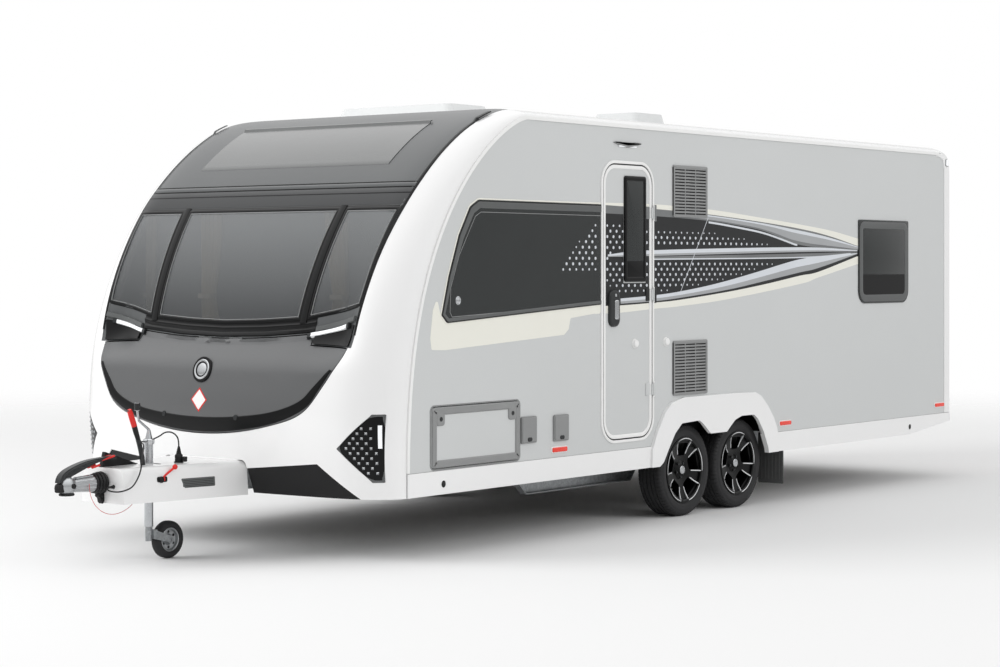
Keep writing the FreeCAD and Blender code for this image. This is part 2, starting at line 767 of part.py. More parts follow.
def vents():
    outer = v.wall_plane
    grilles = []
    for low, high in ((lift(1930), lift(2261)), (791, 1140)):
        frame = prism("YZ", [rectangle(68, low, 470, high, 12)], outer, outer + 9)
        pitch, lip = 20, 18
        slots = []
        height = low + lip
        while height + 11 < high - lip:
            slots.append(block((outer + 3, 86, height), (outer + 20, 452, height + 9)))
            height += pitch
        grilles.append(frame.cut(Part.makeCompound(slots)))
    flaps = [prism("YZ", [rectangle(y, z, y + 146, z + 156, 12)], outer, outer + 12)
             for y, z in ((-1538, 586), (-1219, 580))]
    feature("wall_vents", Part.makeCompound(grilles + flaps))


def awning_rails():
    """A bead along each wall's edge, over the joint with the front, roof and rear."""
    width, proud = 20, 10
    start = search(lambda angle: front_edge(angle)[1], v.sill_height + 5, 0, pi / 2)
    lead = [front_edge(start + (pi / 2 - start) * step / 12) for step in range(13)]
    inner = []
    for index, (y, z) in enumerate(lead):
        one = lead[max(index - 1, 0)]
        two = lead[min(index + 1, len(lead) - 1)]
        run_y, run_z = two[0] - one[0], two[1] - one[1]
        if index == len(lead) - 1:
            run_y, run_z = 1, 0
        length = hypot(run_y, run_z)
        inner.append((y + width * run_z / length, z - width * run_y / length))
    end = v.roof_rear
    curves = [curve(lead), curve(inner)] + run([lead[0], inner[0]])
    curves += run([lead[-1], (end, v.rail_height), (end, v.rail_height - width), inner[-1]])
    rail = prism("YZ", [curves], v.wall_plane, v.wall_plane + proud)
    feature("awning_rails", both_sides(rail))


def arch_outline():
    points = [(-192, 353), (-188, 467), (-129, 578), (-38, 696), (40, 752), (175, 777),
              (789, 777), (1052, 771), (1126, 744), (1217, 670), (1292, 588), (1340, 507),
              (1356, 353)]
    return rounded(points, (0, 40, 60, 60, 60, 80, 0, 60, 60, 0, 0, 60, 0))


def skirts():
    low, high = v.skirt_under, v.sill_height - 1
    rear_low = v.rear_low
    strip = rounded([(v.skirt_front, low), (v.skirt_rear - v.skirt_rise, low), (v.skirt_rear, rear_low),
                     (v.skirt_rear, high), (v.skirt_front, high)], 0)
    inner = v.skirt_outer - v.skirt_gauge
    skirt = prism("YZ", [strip], inner, v.skirt_outer)
    over = prism("YZ", [arch_outline()], v.wall_plane, v.arch_outer)
    under = block((inner, -192, low), (v.wall_plane + 1, 1356, high))
    bay = prism("YZ", [arch_opening()], inner - 10, v.arch_outer + 10)
    whole = skirt.fuse([over, under]).cut(bay).removeSplitter()
    flap = block((1015, 1440, 129), (inner + 14, 1446, high))
    hanger = block((1015, 1446, high - 60), (inner + 0.5, 1466, high))
    whole = whole.fuse([flap, hanger]).removeSplitter()
    for name, side in SIDES.items():
        feature("skirt_" + name, whole if side > 0 else other_side(whole))


# Chassis

def rail_outline(inset):
    top = v.sill_height - inset
    low, deep = v.rail_under + inset, v.rail_deep + inset
    front, tail = v.rail_front + inset, v.rail_tail - inset
    one, two, slope = v.deep_front, v.deep_rear, v.slope_run
    return rounded([(front, top), (front, low + 60), (front + 260, low), (one, low),
                    (one + slope, deep), (two, deep), (two + slope, low + 30), (2300, low + 30),
                    (tail, low + 90), (tail, top)])


def tube_spots():
    return [(y - v.arm_length * 0.85, v.tube_height) for y in (v.axle_front_y, v.axle_rear_y)]


def chassis():
    inner = v.rail_outer - v.rail_width
    solid = prism("YZ", [rail_outline(0)], inner, v.rail_outer)
    hollow = prism("YZ", [rail_outline(v.rail_gauge)], inner + v.rail_gauge, v.rail_outer + 1)
    rail = solid.cut(hollow)
    for y, z in tube_spots():
        rail = rail.cut(across(inner - 1, y, z, v.tube_radius + v.ease, v.rail_width + 2))
    feature("chassis_rails", both_sides(rail))
    members = steady_brackets()
    for y in (-1250, 1500, (1500 + v.rail_tail) / 2, v.rail_tail - 100):
        low = v.sill_height - 75
        outer = block((-inner, y - 25, low), (inner, y + 25, v.sill_height))
        slot = block((-inner, y - 25 + v.rail_gauge, low + v.rail_gauge),
                     (inner, y + 26, v.sill_height - v.rail_gauge))
        members.append(outer.cut(slot))
    feature("cross_members", Part.makeCompound(members))


def running_gear():
    tubes, arms = [], []
    reach = v.track_half - v.tyre_width / 2 - 20
    for axle, (y, z) in zip((v.axle_front_y, v.axle_rear_y), tube_spots()):
        tubes.append(across(-reach, y, z, v.tube_radius, 2 * reach))
        big, small = v.tube_radius + 12, 34
        start = reach - v.arm_gauge - 2
        boss = across(start, y, z, big, v.arm_gauge).cut(
            across(start - 1, y, z, v.tube_radius + v.ease, v.arm_gauge + 2))
        hub = across(start, axle, v.tyre_radius, small, v.arm_gauge)
        run_y, run_z = axle - y, v.tyre_radius - z
        length = hypot(run_y, run_z)
        ny, nz = -run_z / length, run_y / length
        web = prism("YZ", [rounded([
            (y + ny * big * 0.9, z + nz * big * 0.9),
            (axle + ny * small * 0.95, v.tyre_radius + nz * small * 0.95),
            (axle - ny * small * 0.95, v.tyre_radius - nz * small * 0.95),
            (y - ny * big * 0.9, z - nz * big * 0.9)])], start, start + v.arm_gauge)
        web = web.cut(across(start - 1, y, z, v.tube_radius + v.ease, v.arm_gauge + 2))
        spindle = across(start, axle, v.tyre_radius, v.spindle_radius,
                         v.track_half + 20 - start)
        arm = boss.fuse([hub, web, spindle]).removeSplitter()
        arms += [arm, other_side(arm)]
    feature("suspension", Part.makeCompound(tubes + arms))


def spin(label, outline, placement):
    """A body turned about its own X axis."""
    body = doc.addObject("PartDesign::Body", label)
    sketch = body.newObject("Sketcher::SketchObject", label + "_section")
    origin = next(item for item in body.Origin.OriginFeatures if item.Role == "XY_Plane")
    sketch.AttachmentSupport = [(origin, "")]
    sketch.MapMode = "FlatFace"
    for piece in outline:
        sketch.addGeometry(piece, False)
    turn = body.newObject("PartDesign::Revolution", label + "_turn")
    turn.Profile = sketch
    turn.ReferenceAxis = (sketch, ["H_Axis"])
    turn.Angle = 360
    body.Placement = placement
    return keep(body, label)


def wheel_place(side, y):
    turn = FreeCAD.Rotation(Vector(0, 0, 1), 0 if side > 0 else 180)
    return FreeCAD.Placement(Vector(side * v.track_half, y, v.tyre_radius), turn)


def tyre_section():
    half, top, bead = v.tyre_width / 2, v.tyre_radius, v.rim_radius
    inner = bead - 15
    return rounded([(-half + 11, inner), (half - 11, inner), (half - 9, bead + 4),
                    (half, bead + 34), (half - 6, top - 16), (half - 26, top), (-half + 26, top),
                    (-half + 6, top - 16), (-half, bead + 34), (-half + 9, bead + 4)],
                   (0, 0, 8, 30, 16, 20, 20, 16, 30, 8))


def rim_section():
    half, top = v.tyre_width / 2 - 3, v.rim_radius
    seat = top - 15 - v.ease
    bore = v.spindle_radius + v.running_fit
    drum_back, lip = -half + 20, 5
    return rounded([
        (drum_back, bore), (24, bore), (24, 0), (66, 0), (66, 26), (58, 34), (46, 60), (58, 110),
        (72, seat - 6), (half - lip, seat - 6), (half, seat), (half, top), (half - lip, top),
        (half - lip, seat), (-half + lip, seat), (-half + lip, top), (-half, top), (-half, seat - 8),
        (46, seat - 8), (32, 110), (18, 90), (14, 125), (drum_back, 125)])


def wheels():
    for place, y in (("front", v.axle_front_y), ("rear", v.axle_rear_y)):
        for name, side in SIDES.items():
            label = place + "_" + name
            spin("tyre_" + label, tyre_section(), wheel_place(side, y))
            rim = spin("wheel_" + label, rim_section(), wheel_place(side, y))
            open_spokes(rim)


def open_spokes(body):
    """Five windows between the spokes, as one pocket and its pattern about the wheel's axis."""
    label = body.Label
    sketch = body.newObject("Sketcher::SketchObject", label + "_window")
    origin = next(item for item in body.Origin.OriginFeatures if item.Role == "YZ_Plane")
    sketch.AttachmentSupport = [(origin, "")]
    sketch.MapMode = "FlatFace"
    sketch.AttachmentOffset = FreeCAD.Placement(Vector(0, 0, 90), FreeCAD.Rotation())
    outer, inner, spread_angle = v.rim_radius - 26, 98, radians(21)
    points = [(radius * sin(angle), radius * cos(angle)) for radius, angle in
              ((inner, -spread_angle), (outer, -spread_angle * 1.02), (outer, spread_angle * 1.02),
               (inner, spread_angle))]
    for piece in rounded(points, (10, 14, 14, 10)):
        sketch.addGeometry(piece, False)
    doc.recompute()
    before = body.Tip.Shape.Volume
    pocket = body.newObject("PartDesign::Pocket", label + "_opening")
    pocket.Profile = sketch
    pocket.Length = 71
    doc.recompute()
    if pocket.Shape.Volume > before - 1:
        pocket.Reversed = True
        doc.recompute()
    pattern = body.newObject("PartDesign::PolarPattern", label + "_openings")
    pattern.Originals = [pocket]
    axis = next(item for item in body.Origin.OriginFeatures if item.Role == "X_Axis")
    pattern.Axis = (axis, [""])
    pattern.Angle = 360
    pattern.Occurrences = 5
    body.Tip = pattern
    doc.recompute()
    if pattern.Shape.Volume > pocket.Shape.Volume - 1:
        raise ValueError(label + " has only one window")


# Steadies

def steady_spots():
    return (("front", v.steady_front_y, -1), ("rear", v.steady_rear_y, 1))


def steady_brackets():
    """A pair of ears with a pin for each folding leg."""
    brackets = []
    height = v.steady_pivot
    for _, y, _ in steady_spots():
        for side in SIDES.values():
            x = side * v.steady_across
            ears = [block((x + s * 27 - 3, y - 30, height - 16),
                          (x + s * 27 + 3, y + 30, v.sill_height)) for s in (-1, 1)]
            pin = across(x - 34, y, height, v.steady_pin, 68)
            brackets.append(ears[0].fuse([ears[1], pin]).removeSplitter())
    return brackets


def steadies():
    """A folding leg under each corner, a channel with a foot."""
    height = v.steady_pivot
    for place, y, ahead in steady_spots():
        for name, side in SIDES.items():
            x = side * v.steady_across
            tip = y + ahead * v.steady_length
            low, high = sorted((y - ahead * 22, tip - ahead * 60))
            leg = block((x - 22, low, height - 20), (x + 22, high, height + 20)).cut(
                block((x - 18, low - 1, height - 21), (x + 18, high + 1, height + 16)))
            leg = leg.cut(across(x - 40, y, height, v.steady_pin + v.running_fit, 80))
            foot_low, foot_high = sorted((tip - ahead * 80, tip))
            foot = block((x - 45, foot_low, height - 24), (x + 45, foot_high, height - 18))
            feature("steady_%s_%s" % (place, name), leg.fuse(foot).removeSplitter())


# Drawbar

def leg_line(y):
    """How far from the centre line an A-frame leg runs at a place along the caravan."""
    share = (y - v.leg_tip) / (v.leg_root_y - v.leg_tip)
    return v.leg_tip_x + (v.leg_root_x - v.leg_tip_x) * share


def leg_turn():
    return atan2(v.leg_root_x - v.leg_tip_x, v.leg_root_y - v.leg_tip)


def web_line(y):
    """Where the inner face of a leg's web runs."""
    return leg_line(y) + (v.leg_width / 2 - v.rail_gauge) / cos(leg_turn())


def between_legs(front, back, low, high):
    """A plate that reaches from one leg's web to the other's."""
    outline = run([(-web_line(front), front), (web_line(front), front), (web_line(back), back),
                   (-web_line(back), back), (-web_line(front), front)])
    return prism("XY", [outline], low, high)


def drawbar_leg():
    """One side of the A-frame: a channel from the front cross member to the coupling."""
    spare = 60
    length = hypot(v.leg_root_x - v.leg_tip_x, v.leg_root_y - v.leg_tip) + spare
    half, gauge = v.leg_width / 2, v.rail_gauge
    outer = block((-half, -spare, v.leg_under), (half, length, v.leg_under + v.leg_height))
    inner = block((-half - 1, -spare - 1, v.leg_under + gauge),
                  (half - gauge, length + 1, v.leg_under + v.leg_height - gauge))
    turn = FreeCAD.Rotation(Vector(0, 0, 1), -leg_turn() * 180 / pi)
    place = FreeCAD.Placement(Vector(v.leg_tip_x, v.leg_tip, 0), turn)
    leg = outer.cut(inner).transformed(place.toMatrix())
    return leg.common(block((0, v.leg_tip, 300), (1000, v.leg_root_y, 600)))


def drawbar():
    leg = drawbar_leg()
    feature("drawbar_legs", both_sides(leg))
    low, high = v.leg_under, v.leg_under + v.leg_height
    tip, gauge = v.leg_tip, v.rail_gauge
    nose = between_legs(tip, tip + 235, low + gauge, high - gauge)
    cap = block((-v.leg_tip_x - 28, tip - 16, low), (v.leg_tip_x + 28, tip, high))
    tube = Part.makeCylinder(v.draw_tube_radius, tip - 15 - v.draw_tube_y,
                             Vector(0, v.draw_tube_y, v.coupling_height), Vector(0, 1, 0))
    feature("drawbar_head", nose.fuse([cap, tube]).removeSplitter())


def turned(points, height):
    """A solid turned about the coupling's axis, from (y, radius) points."""
    outline = run(points + [(points[-1][0], 0), (points[0][0], 0), points[0]])
    face = Part.Face(Part.Wire([piece.toShape() for piece in outline]))
    face = face.transformed(PLANES["YZ"].toMatrix())
    face.translate(Vector(0, 0, height))
    return face.revolve(Vector(0, 0, height), Vector(0, 1, 0), 360)


def overrun_bellows():
    start = v.leg_tip - 16
    end = start - v.bellows_length
    inner, folds = v.draw_tube_radius + 8, 4
    pitch = (start - end) / folds
    points = []
    for index in range(folds):
        points += [(end + index * pitch, inner), (end + (index + 0.5) * pitch, inner + 14)]
    points.append((start, inner))
    hollow = Part.makeCylinder(v.draw_tube_radius + v.ease, 300,
                               Vector(0, end - 20, v.coupling_height), Vector(0, 1, 0))
    feature("overrun_bellows", turned(points, v.coupling_height).cut(hollow))


def coupling():
    """The towing head: a tapered casting with a cup for the ball beneath its front."""
    axis, ball, tip = v.coupling_height, v.ball_y, v.coupling_tip
    back = v.leg_tip - 16 - v.bellows_length
    side = prism("YZ", [rounded([(back, axis - 36), (back, axis + 36), (ball + 60, axis + 40),
                                 (ball - 10, axis + 42), (tip, axis + 14), (tip, axis - 26),
                                 (ball + 70, axis - 34)],
                                (6, 6, 20, 30, 14, 12, 10))], -60, 60)
    plan = rounded([(-38, back), (38, back), (38, ball + 62), (46, ball), (36, ball - 44),
                    (20, tip), (-20, tip), (-36, ball - 44), (-46, ball), (-38, ball + 62)],
                   (0, 0, 20, 30, 20, 12, 12, 20, 30, 20))
    casting = side.common(prism("XY", [plan], 300, 600))
    mouth = v.coupling_height - 45
    cup = Part.makeSphere(46, Vector(0, ball, axis - 12)).common(
        block((-60, ball - 60, mouth), (60, ball + 60, axis)))
    lug = block((37, -3808, axis + 6), (54, -3792, axis + 20))
    casting = casting.fuse([cup, lug])
    socket = upright(0, ball, mouth - 1, v.ball_socket_radius, v.ball_socket_depth + 1)
    seat = Part.makeCylinder(v.draw_tube_radius + v.ease, back + 1 - v.draw_tube_y,
                             Vector(0, v.draw_tube_y, axis), Vector(0, 1, 0))
    feature("coupling_head", casting.cut(Part.makeCompound([socket, seat])))
    upper = [(ball - 62, axis + 5), (ball - 52, axis + 52), (ball + 30, axis + 100),
             (ball + 150, axis + 128), (ball + 335, axis + 142)]
    lower = [(ball + 335, axis + 120), (ball + 150, axis + 96), (ball + 60, axis + 64),
             (ball + 12, axis + 46), (ball - 30, axis + 20)]
    outline = [curve(upper), curve(lower)] + run([upper[-1], lower[0]])
    outline += run([lower[-1], upper[0]])
    handle = prism("YZ", [outline], -20, 20).cut(side)
    feature("coupling_handle", handle)


def cover_half(y):
    share = (y - v.cover_front) / (v.cover_rear - v.cover_front)
    return v.cover_front_half + (v.cover_rear_half - v.cover_front_half) * share


def cover_section(y, inset):
    """The A-frame cover's section: straight sides that lean in a little to a rounded top."""
    half = cover_half(y) - inset
    top, low = v.cover_top - inset, v.cover_under - (1 if inset else 0)
    corner = 38 - inset
    outline = rounded([(-half, low), (half, low), (half - v.cover_lean, top),
                       (-half + v.cover_lean, top)], (0, 0, corner, corner))
    wire = Part.Wire(Part.__sortEdges__([piece.toShape() for piece in outline]))
    wire = wire.transformed(PLANES["XZ"].toMatrix())
    wire.translate(Vector(0, y, 0))
    return wire


def cover_solid(inset):
    front, rear = v.cover_front + inset, v.cover_rear + (1 if inset else 0)
    return Part.makeLoft([cover_section(front, inset), cover_section(rear, inset)], True, True)


def frame_cover():
    outer, gauge = cover_solid(0), 4
    y, high = v.cover_front, 700
    holes = [upright(0, v.jockey_y, 400, v.jockey_tube_radius + 6, 300),
             block((36, -3450, 450), (64, -3380, high)),
             Part.makeCylinder(v.draw_tube_radius + 24, 40, Vector(0, y - 10, v.coupling_height),
                               Vector(0, 1, 0))]
    cover = outer.cut(cover_solid(gauge)).cut(Part.makeCompound(holes))
    grilles = [block((side * 300 - 140, -3290, 415), (side * 300 + 140, -3090, 455))
               for side in (1, -1)]
    cover = cover.cut(Part.makeCompound(grilles))
    leg_top = v.leg_under + v.leg_height
    feet = []
    for foot_y in (-3560, -3000):
        for side in (1, -1):
            x = side * leg_line(foot_y)
            feet.append(block((x - 8, foot_y - 10, leg_top),
                              (x + 8, foot_y + 10, v.cover_top - gauge + 1)))
    feature("frame_cover", cover.fuse(feet).removeSplitter())
    guard = prism("YZ", [run([(-3647, v.cover_top), (-3384, v.cover_top), (-3622, 615),
                              (-3647, v.cover_top)])], -46, -22)
    end = SUPPLY_ROUTE[-1]
    holder = upright(end[0], end[1], v.cover_top, 26, 6)
    feature("cover_fittings", Part.makeCompound([guard, holder]))
    ball = Vector(230, -3349, 529)
    root = Vector(195, -3425, 463)
    rod = Part.makeCylinder(6, (ball - root).Length, root, ball - root)
    socket = block((180, -3435, 456), (212, -3405, 474))
    clamp = rod.fuse([Part.makeSphere(12, ball), socket]).cut(outer)
    feature("clamp_lever", clamp)


def jockey():
    """The jockey wheel: a post that slides in its clamp, a fork that swivels, and the wheel."""
    y, radius = v.jockey_y, v.jockey_tube_radius
    plate = between_legs(y - 40, y + 40, 395, 465)
    feature("jockey_clamp", plate.cut(upright(0, y, 380, radius + v.slide_fit, 100)))
    low, high = v.post_low, v.post_high
    post = upright(0, y, low, radius, high - low)
    cone = Part.makeCone(radius - 4, 9, 50, Vector(0, y, high), Vector(0, 0, 1))
    bore = upright(0, y, low - 1, v.swivel_radius + v.running_fit, 61)
    crank_path = [(y, high + 45), (y, high + 52), (y - 75, high + 106), (y - 85, high + 165)]
    bars = []
    for one, two in zip(crank_path, crank_path[1:]):
        reach = Vector(0, two[0] - one[0], two[1] - one[1])
        bars.append(Part.makeCylinder(7, reach.Length, Vector(0, *one), reach))
        bars.append(Part.makeSphere(7, Vector(0, *two)))
    knob = upright(0, y - 85, high + 160, 15, 45)
    feature("jockey_post", post.fuse([cone, knob] + bars).cut(bore).removeSplitter())
    axle_y, axle_z = y + v.jockey_trail, v.jockey_wheel_radius
    head_top = low - 2
    head_low = axle_z + 4
    head = upright(0, y, head_low, 19, head_top - head_low)
    pin = upright(0, y, head_top - 1, v.swivel_radius, 50)
    half = v.jockey_wheel_width / 2 + 6
    bridge = block((-half - 4, y + 10, head_low + 12), (half + 4, y + 28, head_low + 62))
    cheeks = []
    for side in (-1, 1):
        cheek = prism("YZ", [rounded([(y + 10, head_low + 12), (y + 10, head_low + 62),
                                      (axle_y + 4, axle_z + 18), (axle_y + 18, axle_z),
                                      (axle_y + 4, axle_z - 18)], (0, 0, 10, 12, 10))],
                      half if side > 0 else -half - 4, half + 4 if side > 0 else -half)
        cheeks.append(cheek)
    axle = across(-half - 8, axle_y, axle_z, 8, 2 * half + 16)
    fork = head.fuse([pin, bridge, axle] + cheeks).removeSplitter()
    feature("jockey_fork", fork)
    spin("jockey_wheel", jockey_wheel_section(),
         FreeCAD.Placement(Vector(0, axle_y, axle_z), FreeCAD.Rotation()))


def jockey_wheel_section():
    half, top = v.jockey_wheel_width / 2, v.jockey_wheel_radius
    bore = 8 + v.running_fit
    return rounded([(-half, bore), (half, bore), (half, 24), (9, 32), (9, top - 40),
                    (half - 6, top - 32), (half, top - 22), (half, top - 12), (half - 14, top),
                    (-half + 14, top), (-half, top - 12), (-half, top - 22), (-half + 6, top - 32),
                    (-9, top - 40), (-9, 32), (-half, 24)],
                   (0, 0, 3, 4, 4, 4, 4, 8, 10, 10, 8, 4, 4, 4, 4, 3))


def brake_lever():
    """The handbrake: a flat lever that stands on the drawbar's head, its grip well above."""
    low = v.leg_under + v.leg_height - v.rail_gauge
    path = [(-3415, low), (-3430, 608), (-3460, 700), (-3500, 805), (-3516, 838)]
    front = [(a - 13, b) for a, b in path]
    back = [(a + 13, b) for a, b in reversed(path)]
    outline = [curve(front), curve(back)] + run([front[-1], back[0]]) + run([back[-1], front[0]])
    feature("brake_lever", prism("YZ", [outline], 44, 56))


def cord(label, points, radius):
    """A hanging cord: straight runs joined by arcs as large as the runs allow."""
    places = [Vector(*point) for point in points]
    edges, start = [], places[0]
    length = 0
    for before, place, after in zip(places, places[1:], places[2:]):
        back, ahead = (before - place), (after - place)
        shorter = min(back.Length, ahead.Length)
        cut = 0.45 * shorter
        half = back.getAngle(ahead) / 2
        size = cut * tan(half)
        back.normalize()
        ahead.normalize()
        bisector = (back + ahead).normalize()
        one, two = place + back * cut, place + ahead * cut
        middle = place + bisector * (size / sin(half) - size)
        edges.append(Part.LineSegment(start, one).toShape())
        edges.append(Part.Arc(one, middle, two).toShape())
        length += (one - start).Length + edges[-1].Length
        print("%s bend radius %.0f" % (label, size))
        start = two
    edges.append(Part.LineSegment(start, places[-1]).toShape())
    length += (places[-1] - start).Length
    path = Part.Wire(edges)
    ring = Part.Wire(Part.Circle(places[0], places[1] - places[0], radius).toShape())
    tube = path.makePipeShell([ring], True, False)
    share = tube.Volume / (pi * radius * radius * length)
    print("%s length %.0f, volume share %.4f" % (label, length, share))
    feature(label, tube)


SUPPLY_ROUTE = [
    (85, -3660, 436), (85, -3705, 436), (122, -3738, 424), (176, -3724, 417), (192, -3675, 423),
    (198, -3632, 438), (200, -3603, 469), (201, -3579, 508), (198, -3564, 553),
    (184, -3545, 593), (148, -3504, 627), (98, -3455, 640), (36, -3400, 648),
    (-22, -3374, 650), (-54, -3325, 651), (-38, -3276, 656), (-1, -3244, 677), (24, -3232, 699),
    (55, -3217, 704), (83, -3203, 690), (100, -3195, 660), (100, -3195, 625)]
BREAKAWAY_ROUTE = [
    (48, -3800, 461), (48, -3799, 430), (50, -3788, 385), (54, -3764, 342), (58, -3724, 308),
    (62, -3674, 288), (66, -3622, 286), (70, -3572, 298), (76, -3528, 322), (81, -3504, 350),
    (82, -3500, 375)]


def cords():
    cord("supply_cable", SUPPLY_ROUTE, 4)
    end = Vector(*SUPPLY_ROUTE[-1])
    low = v.cover_top + 6
    body = upright(end.x, end.y, low, 22, 38)
    boot = Part.makeCone(16, 7, end.z - low - 37, Vector(end.x, end.y, low + 37), Vector(0, 0, 1))
    feature("supply_plug", body.fuse(boot).removeSplitter())
    cord("breakaway_cable", BREAKAWAY_ROUTE, 1.5)


# Roof, rear and inside fittings

def wedge(low, high, base, top, inset, front_inset):
    """A roof housing: a rounded base that draws in towards its top."""
    wires = []
    for height, shrink, ahead in ((base, 0, 0), (top, inset, front_inset)):
        outline = rectangle(low[0] + shrink, low[1] + ahead, high[0] - shrink, high[1] - shrink, 50)
        wire = Part.Wire(Part.__sortEdges__([piece.toShape() for piece in outline]))
        wire.translate(Vector(0, 0, height))
        wires.append(wire)
    return Part.makeLoft(wires, True, True)


def rooflights():
    crown = v.crown_height
    base = crown - v.light_sink
    large = wedge((-475, -1290), (475, -830), base, crown + v.low_light_rise, 35, 40)
    small = wedge((-215, 1130), (215, 1560), base, crown + v.high_light_rise, 35, 35)
    roof_body = next(thing for thing in NODES if thing.Label == "roof_panel").Shape
    under = block((-600, -1400, base - 100), (600, 1700, base)).fuse(roof_body)
    feature("rooflights", Part.makeCompound([large.cut(under), small.cut(under)]))


def rear_bumper():
    half = v.bumper_half
    strip = through_rear(rectangle(-half, v.bumper_low, half, v.bumper_high, 20))
    feature("rear_bumper", rear_skin(5, v.ease).common(strip))


def curtains():
    pieces = []
    low, high = v.shelf_height + 12 + v.ease, lift(1930)
    back = v.bulkhead_y - 3
    for x, half in ((500, 85), (-500, 85), (1020, 45), (-1020, 45)):
        pieces.append(block((x - half, back - 16, low), (x + half, back, high)))
    feature("curtains", Part.makeCompound(pieces))


def build_all():
    front_panels()
    roof()
    rear_panel()
    floor()
    wheel_boxes()
    front_floor()
    side_walls()
    windows()
    door()
    side_hatch()
    vents()
    awning_rails()
    skirts()
    chassis()
    running_gear()
    wheels()
    steadies()
    drawbar()
    overrun_bellows()
    coupling()
    frame_cover()
    jockey()
    brake_lever()
    cords()
    rooflights()
    rear_bumper()
    curtains()


build_all()
doc.recompute()
for thing in doc.Objects:
    if "Invalid" in thing.State or "Error" in thing.State:
        raise ValueError("%s is %s" % (thing.Label, thing.State))
bad = [thing.Label for thing in NODES if thing.Shape.isNull() or not thing.Shape.isValid()]
if bad:
    raise ValueError("not valid: " + ", ".join(bad))
for thing in NODES:
    thing.Shape.exportStep("parts/%s.step" % thing.Label)
print(len(NODES), "sub-parts")
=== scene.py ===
import json
from math import cos, pi, radians, sin, tan

import bmesh
import bpy
import numpy as np
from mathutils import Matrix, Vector
from mathutils.bvhtree import BVHTree

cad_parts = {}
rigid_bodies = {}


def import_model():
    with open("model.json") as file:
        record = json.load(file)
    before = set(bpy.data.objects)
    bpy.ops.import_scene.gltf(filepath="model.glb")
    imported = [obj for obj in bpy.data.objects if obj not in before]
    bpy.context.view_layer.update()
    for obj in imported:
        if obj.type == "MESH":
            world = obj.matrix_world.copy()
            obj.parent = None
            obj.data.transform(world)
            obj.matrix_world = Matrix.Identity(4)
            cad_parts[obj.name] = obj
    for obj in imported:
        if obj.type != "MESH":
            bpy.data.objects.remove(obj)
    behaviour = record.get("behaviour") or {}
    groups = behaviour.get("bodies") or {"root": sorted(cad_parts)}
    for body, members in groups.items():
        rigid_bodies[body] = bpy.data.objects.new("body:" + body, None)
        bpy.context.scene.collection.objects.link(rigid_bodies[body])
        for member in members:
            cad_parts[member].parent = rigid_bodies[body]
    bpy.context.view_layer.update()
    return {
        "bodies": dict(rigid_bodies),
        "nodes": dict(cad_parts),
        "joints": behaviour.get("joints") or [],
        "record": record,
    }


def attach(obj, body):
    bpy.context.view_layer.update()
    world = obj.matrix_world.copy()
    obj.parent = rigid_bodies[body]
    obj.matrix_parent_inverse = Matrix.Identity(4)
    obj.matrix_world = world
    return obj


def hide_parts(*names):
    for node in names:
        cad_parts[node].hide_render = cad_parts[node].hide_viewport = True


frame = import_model()
nodes = frame["nodes"]
scene = bpy.context.scene
MM = 0.001
WALL, PANE, SKIRT = 1205, 1212, 1213    # planes of the side walls, their panes and the skirts
REAR_PLANE = 3985
SIDES = {"near": 1, "off": -1}


# Camera

def place_camera():
    data = bpy.data.cameras.new("camera")
    data.lens = 80
    data.sensor_width = 36
    data.shift_y = -0.0671
    camera = bpy.data.objects.new("camera", data)
    camera.location = (8.977, -11.808, 1.615)
    camera.rotation_euler = (pi / 2, 0, radians(37.64))
    scene.collection.objects.link(camera)
    scene.camera = camera


place_camera()


# Materials

def linear(code):
    """An sRGB hex value as linear light."""
    parts = [int(code[start:start + 2], 16) / 255 for start in (0, 2, 4)]
    return [part / 12.92 if part <= 0.04045 else ((part + 0.055) / 1.055) ** 2.4 for part in parts] + [1.0]


def add(tree, kind, settings=None, values=None, links=None):
    """Add a node with its settings, its inputs' values and its links."""
    made = tree.nodes.new(kind)
    for name, value in (settings or {}).items():
        setattr(made, name, value)
    for name, value in (values or {}).items():
        made.inputs[name].default_value = value
    for name, source in (links or {}).items():
        tree.links.new(source, made.inputs[name])
    return made


def grain(size, detail=2.0):
    """A relief of soft bumps about size across."""
    def relief(tree, place):
        return add(tree, "ShaderNodeTexNoise", values={"Scale": 1000 / size, "Detail": detail},
            links={"Vector": place}).outputs["Fac"]
    return relief


def pebble(size):
    """The leathery grain of moulded plastic: rounded cells."""
    def relief(tree, place):
        return add(tree, "ShaderNodeTexVoronoi", {"feature": "SMOOTH_F1"}, {"Scale": 1000 / size},
            {"Vector": place}).outputs["Distance"]
    return relief


def ribs(direction, pitch, form="BANDS"):
    """Fine parallel or ring-shaped lines."""
    def relief(tree, place):
        settings = {"wave_type": form}
        settings["bands_direction" if form == "BANDS" else "rings_direction"] = direction
        return add(tree, "ShaderNodeTexWave", settings,
            {"Scale": 1000 / pitch / 20 * 2 * pi, "Distortion": 0.3, "Detail": 1.0},
            {"Vector": place}).outputs["Fac"]
    return relief


def weave(pitch):
    """Two crossed sets of threads."""
    def relief(tree, place):
        across, along = (add(tree, "ShaderNodeTexWave", {"wave_type": "BANDS", "bands_direction": direction},
            {"Scale": 1000 / pitch / 20 * 2 * pi, "Distortion": 0.4}, {"Vector": place}).outputs["Fac"]
            for direction in ("X", "Z"))
        return add(tree, "ShaderNodeMath", {"operation": "MULTIPLY"}, links={0: across, 1: along}).outputs[0]
    return relief


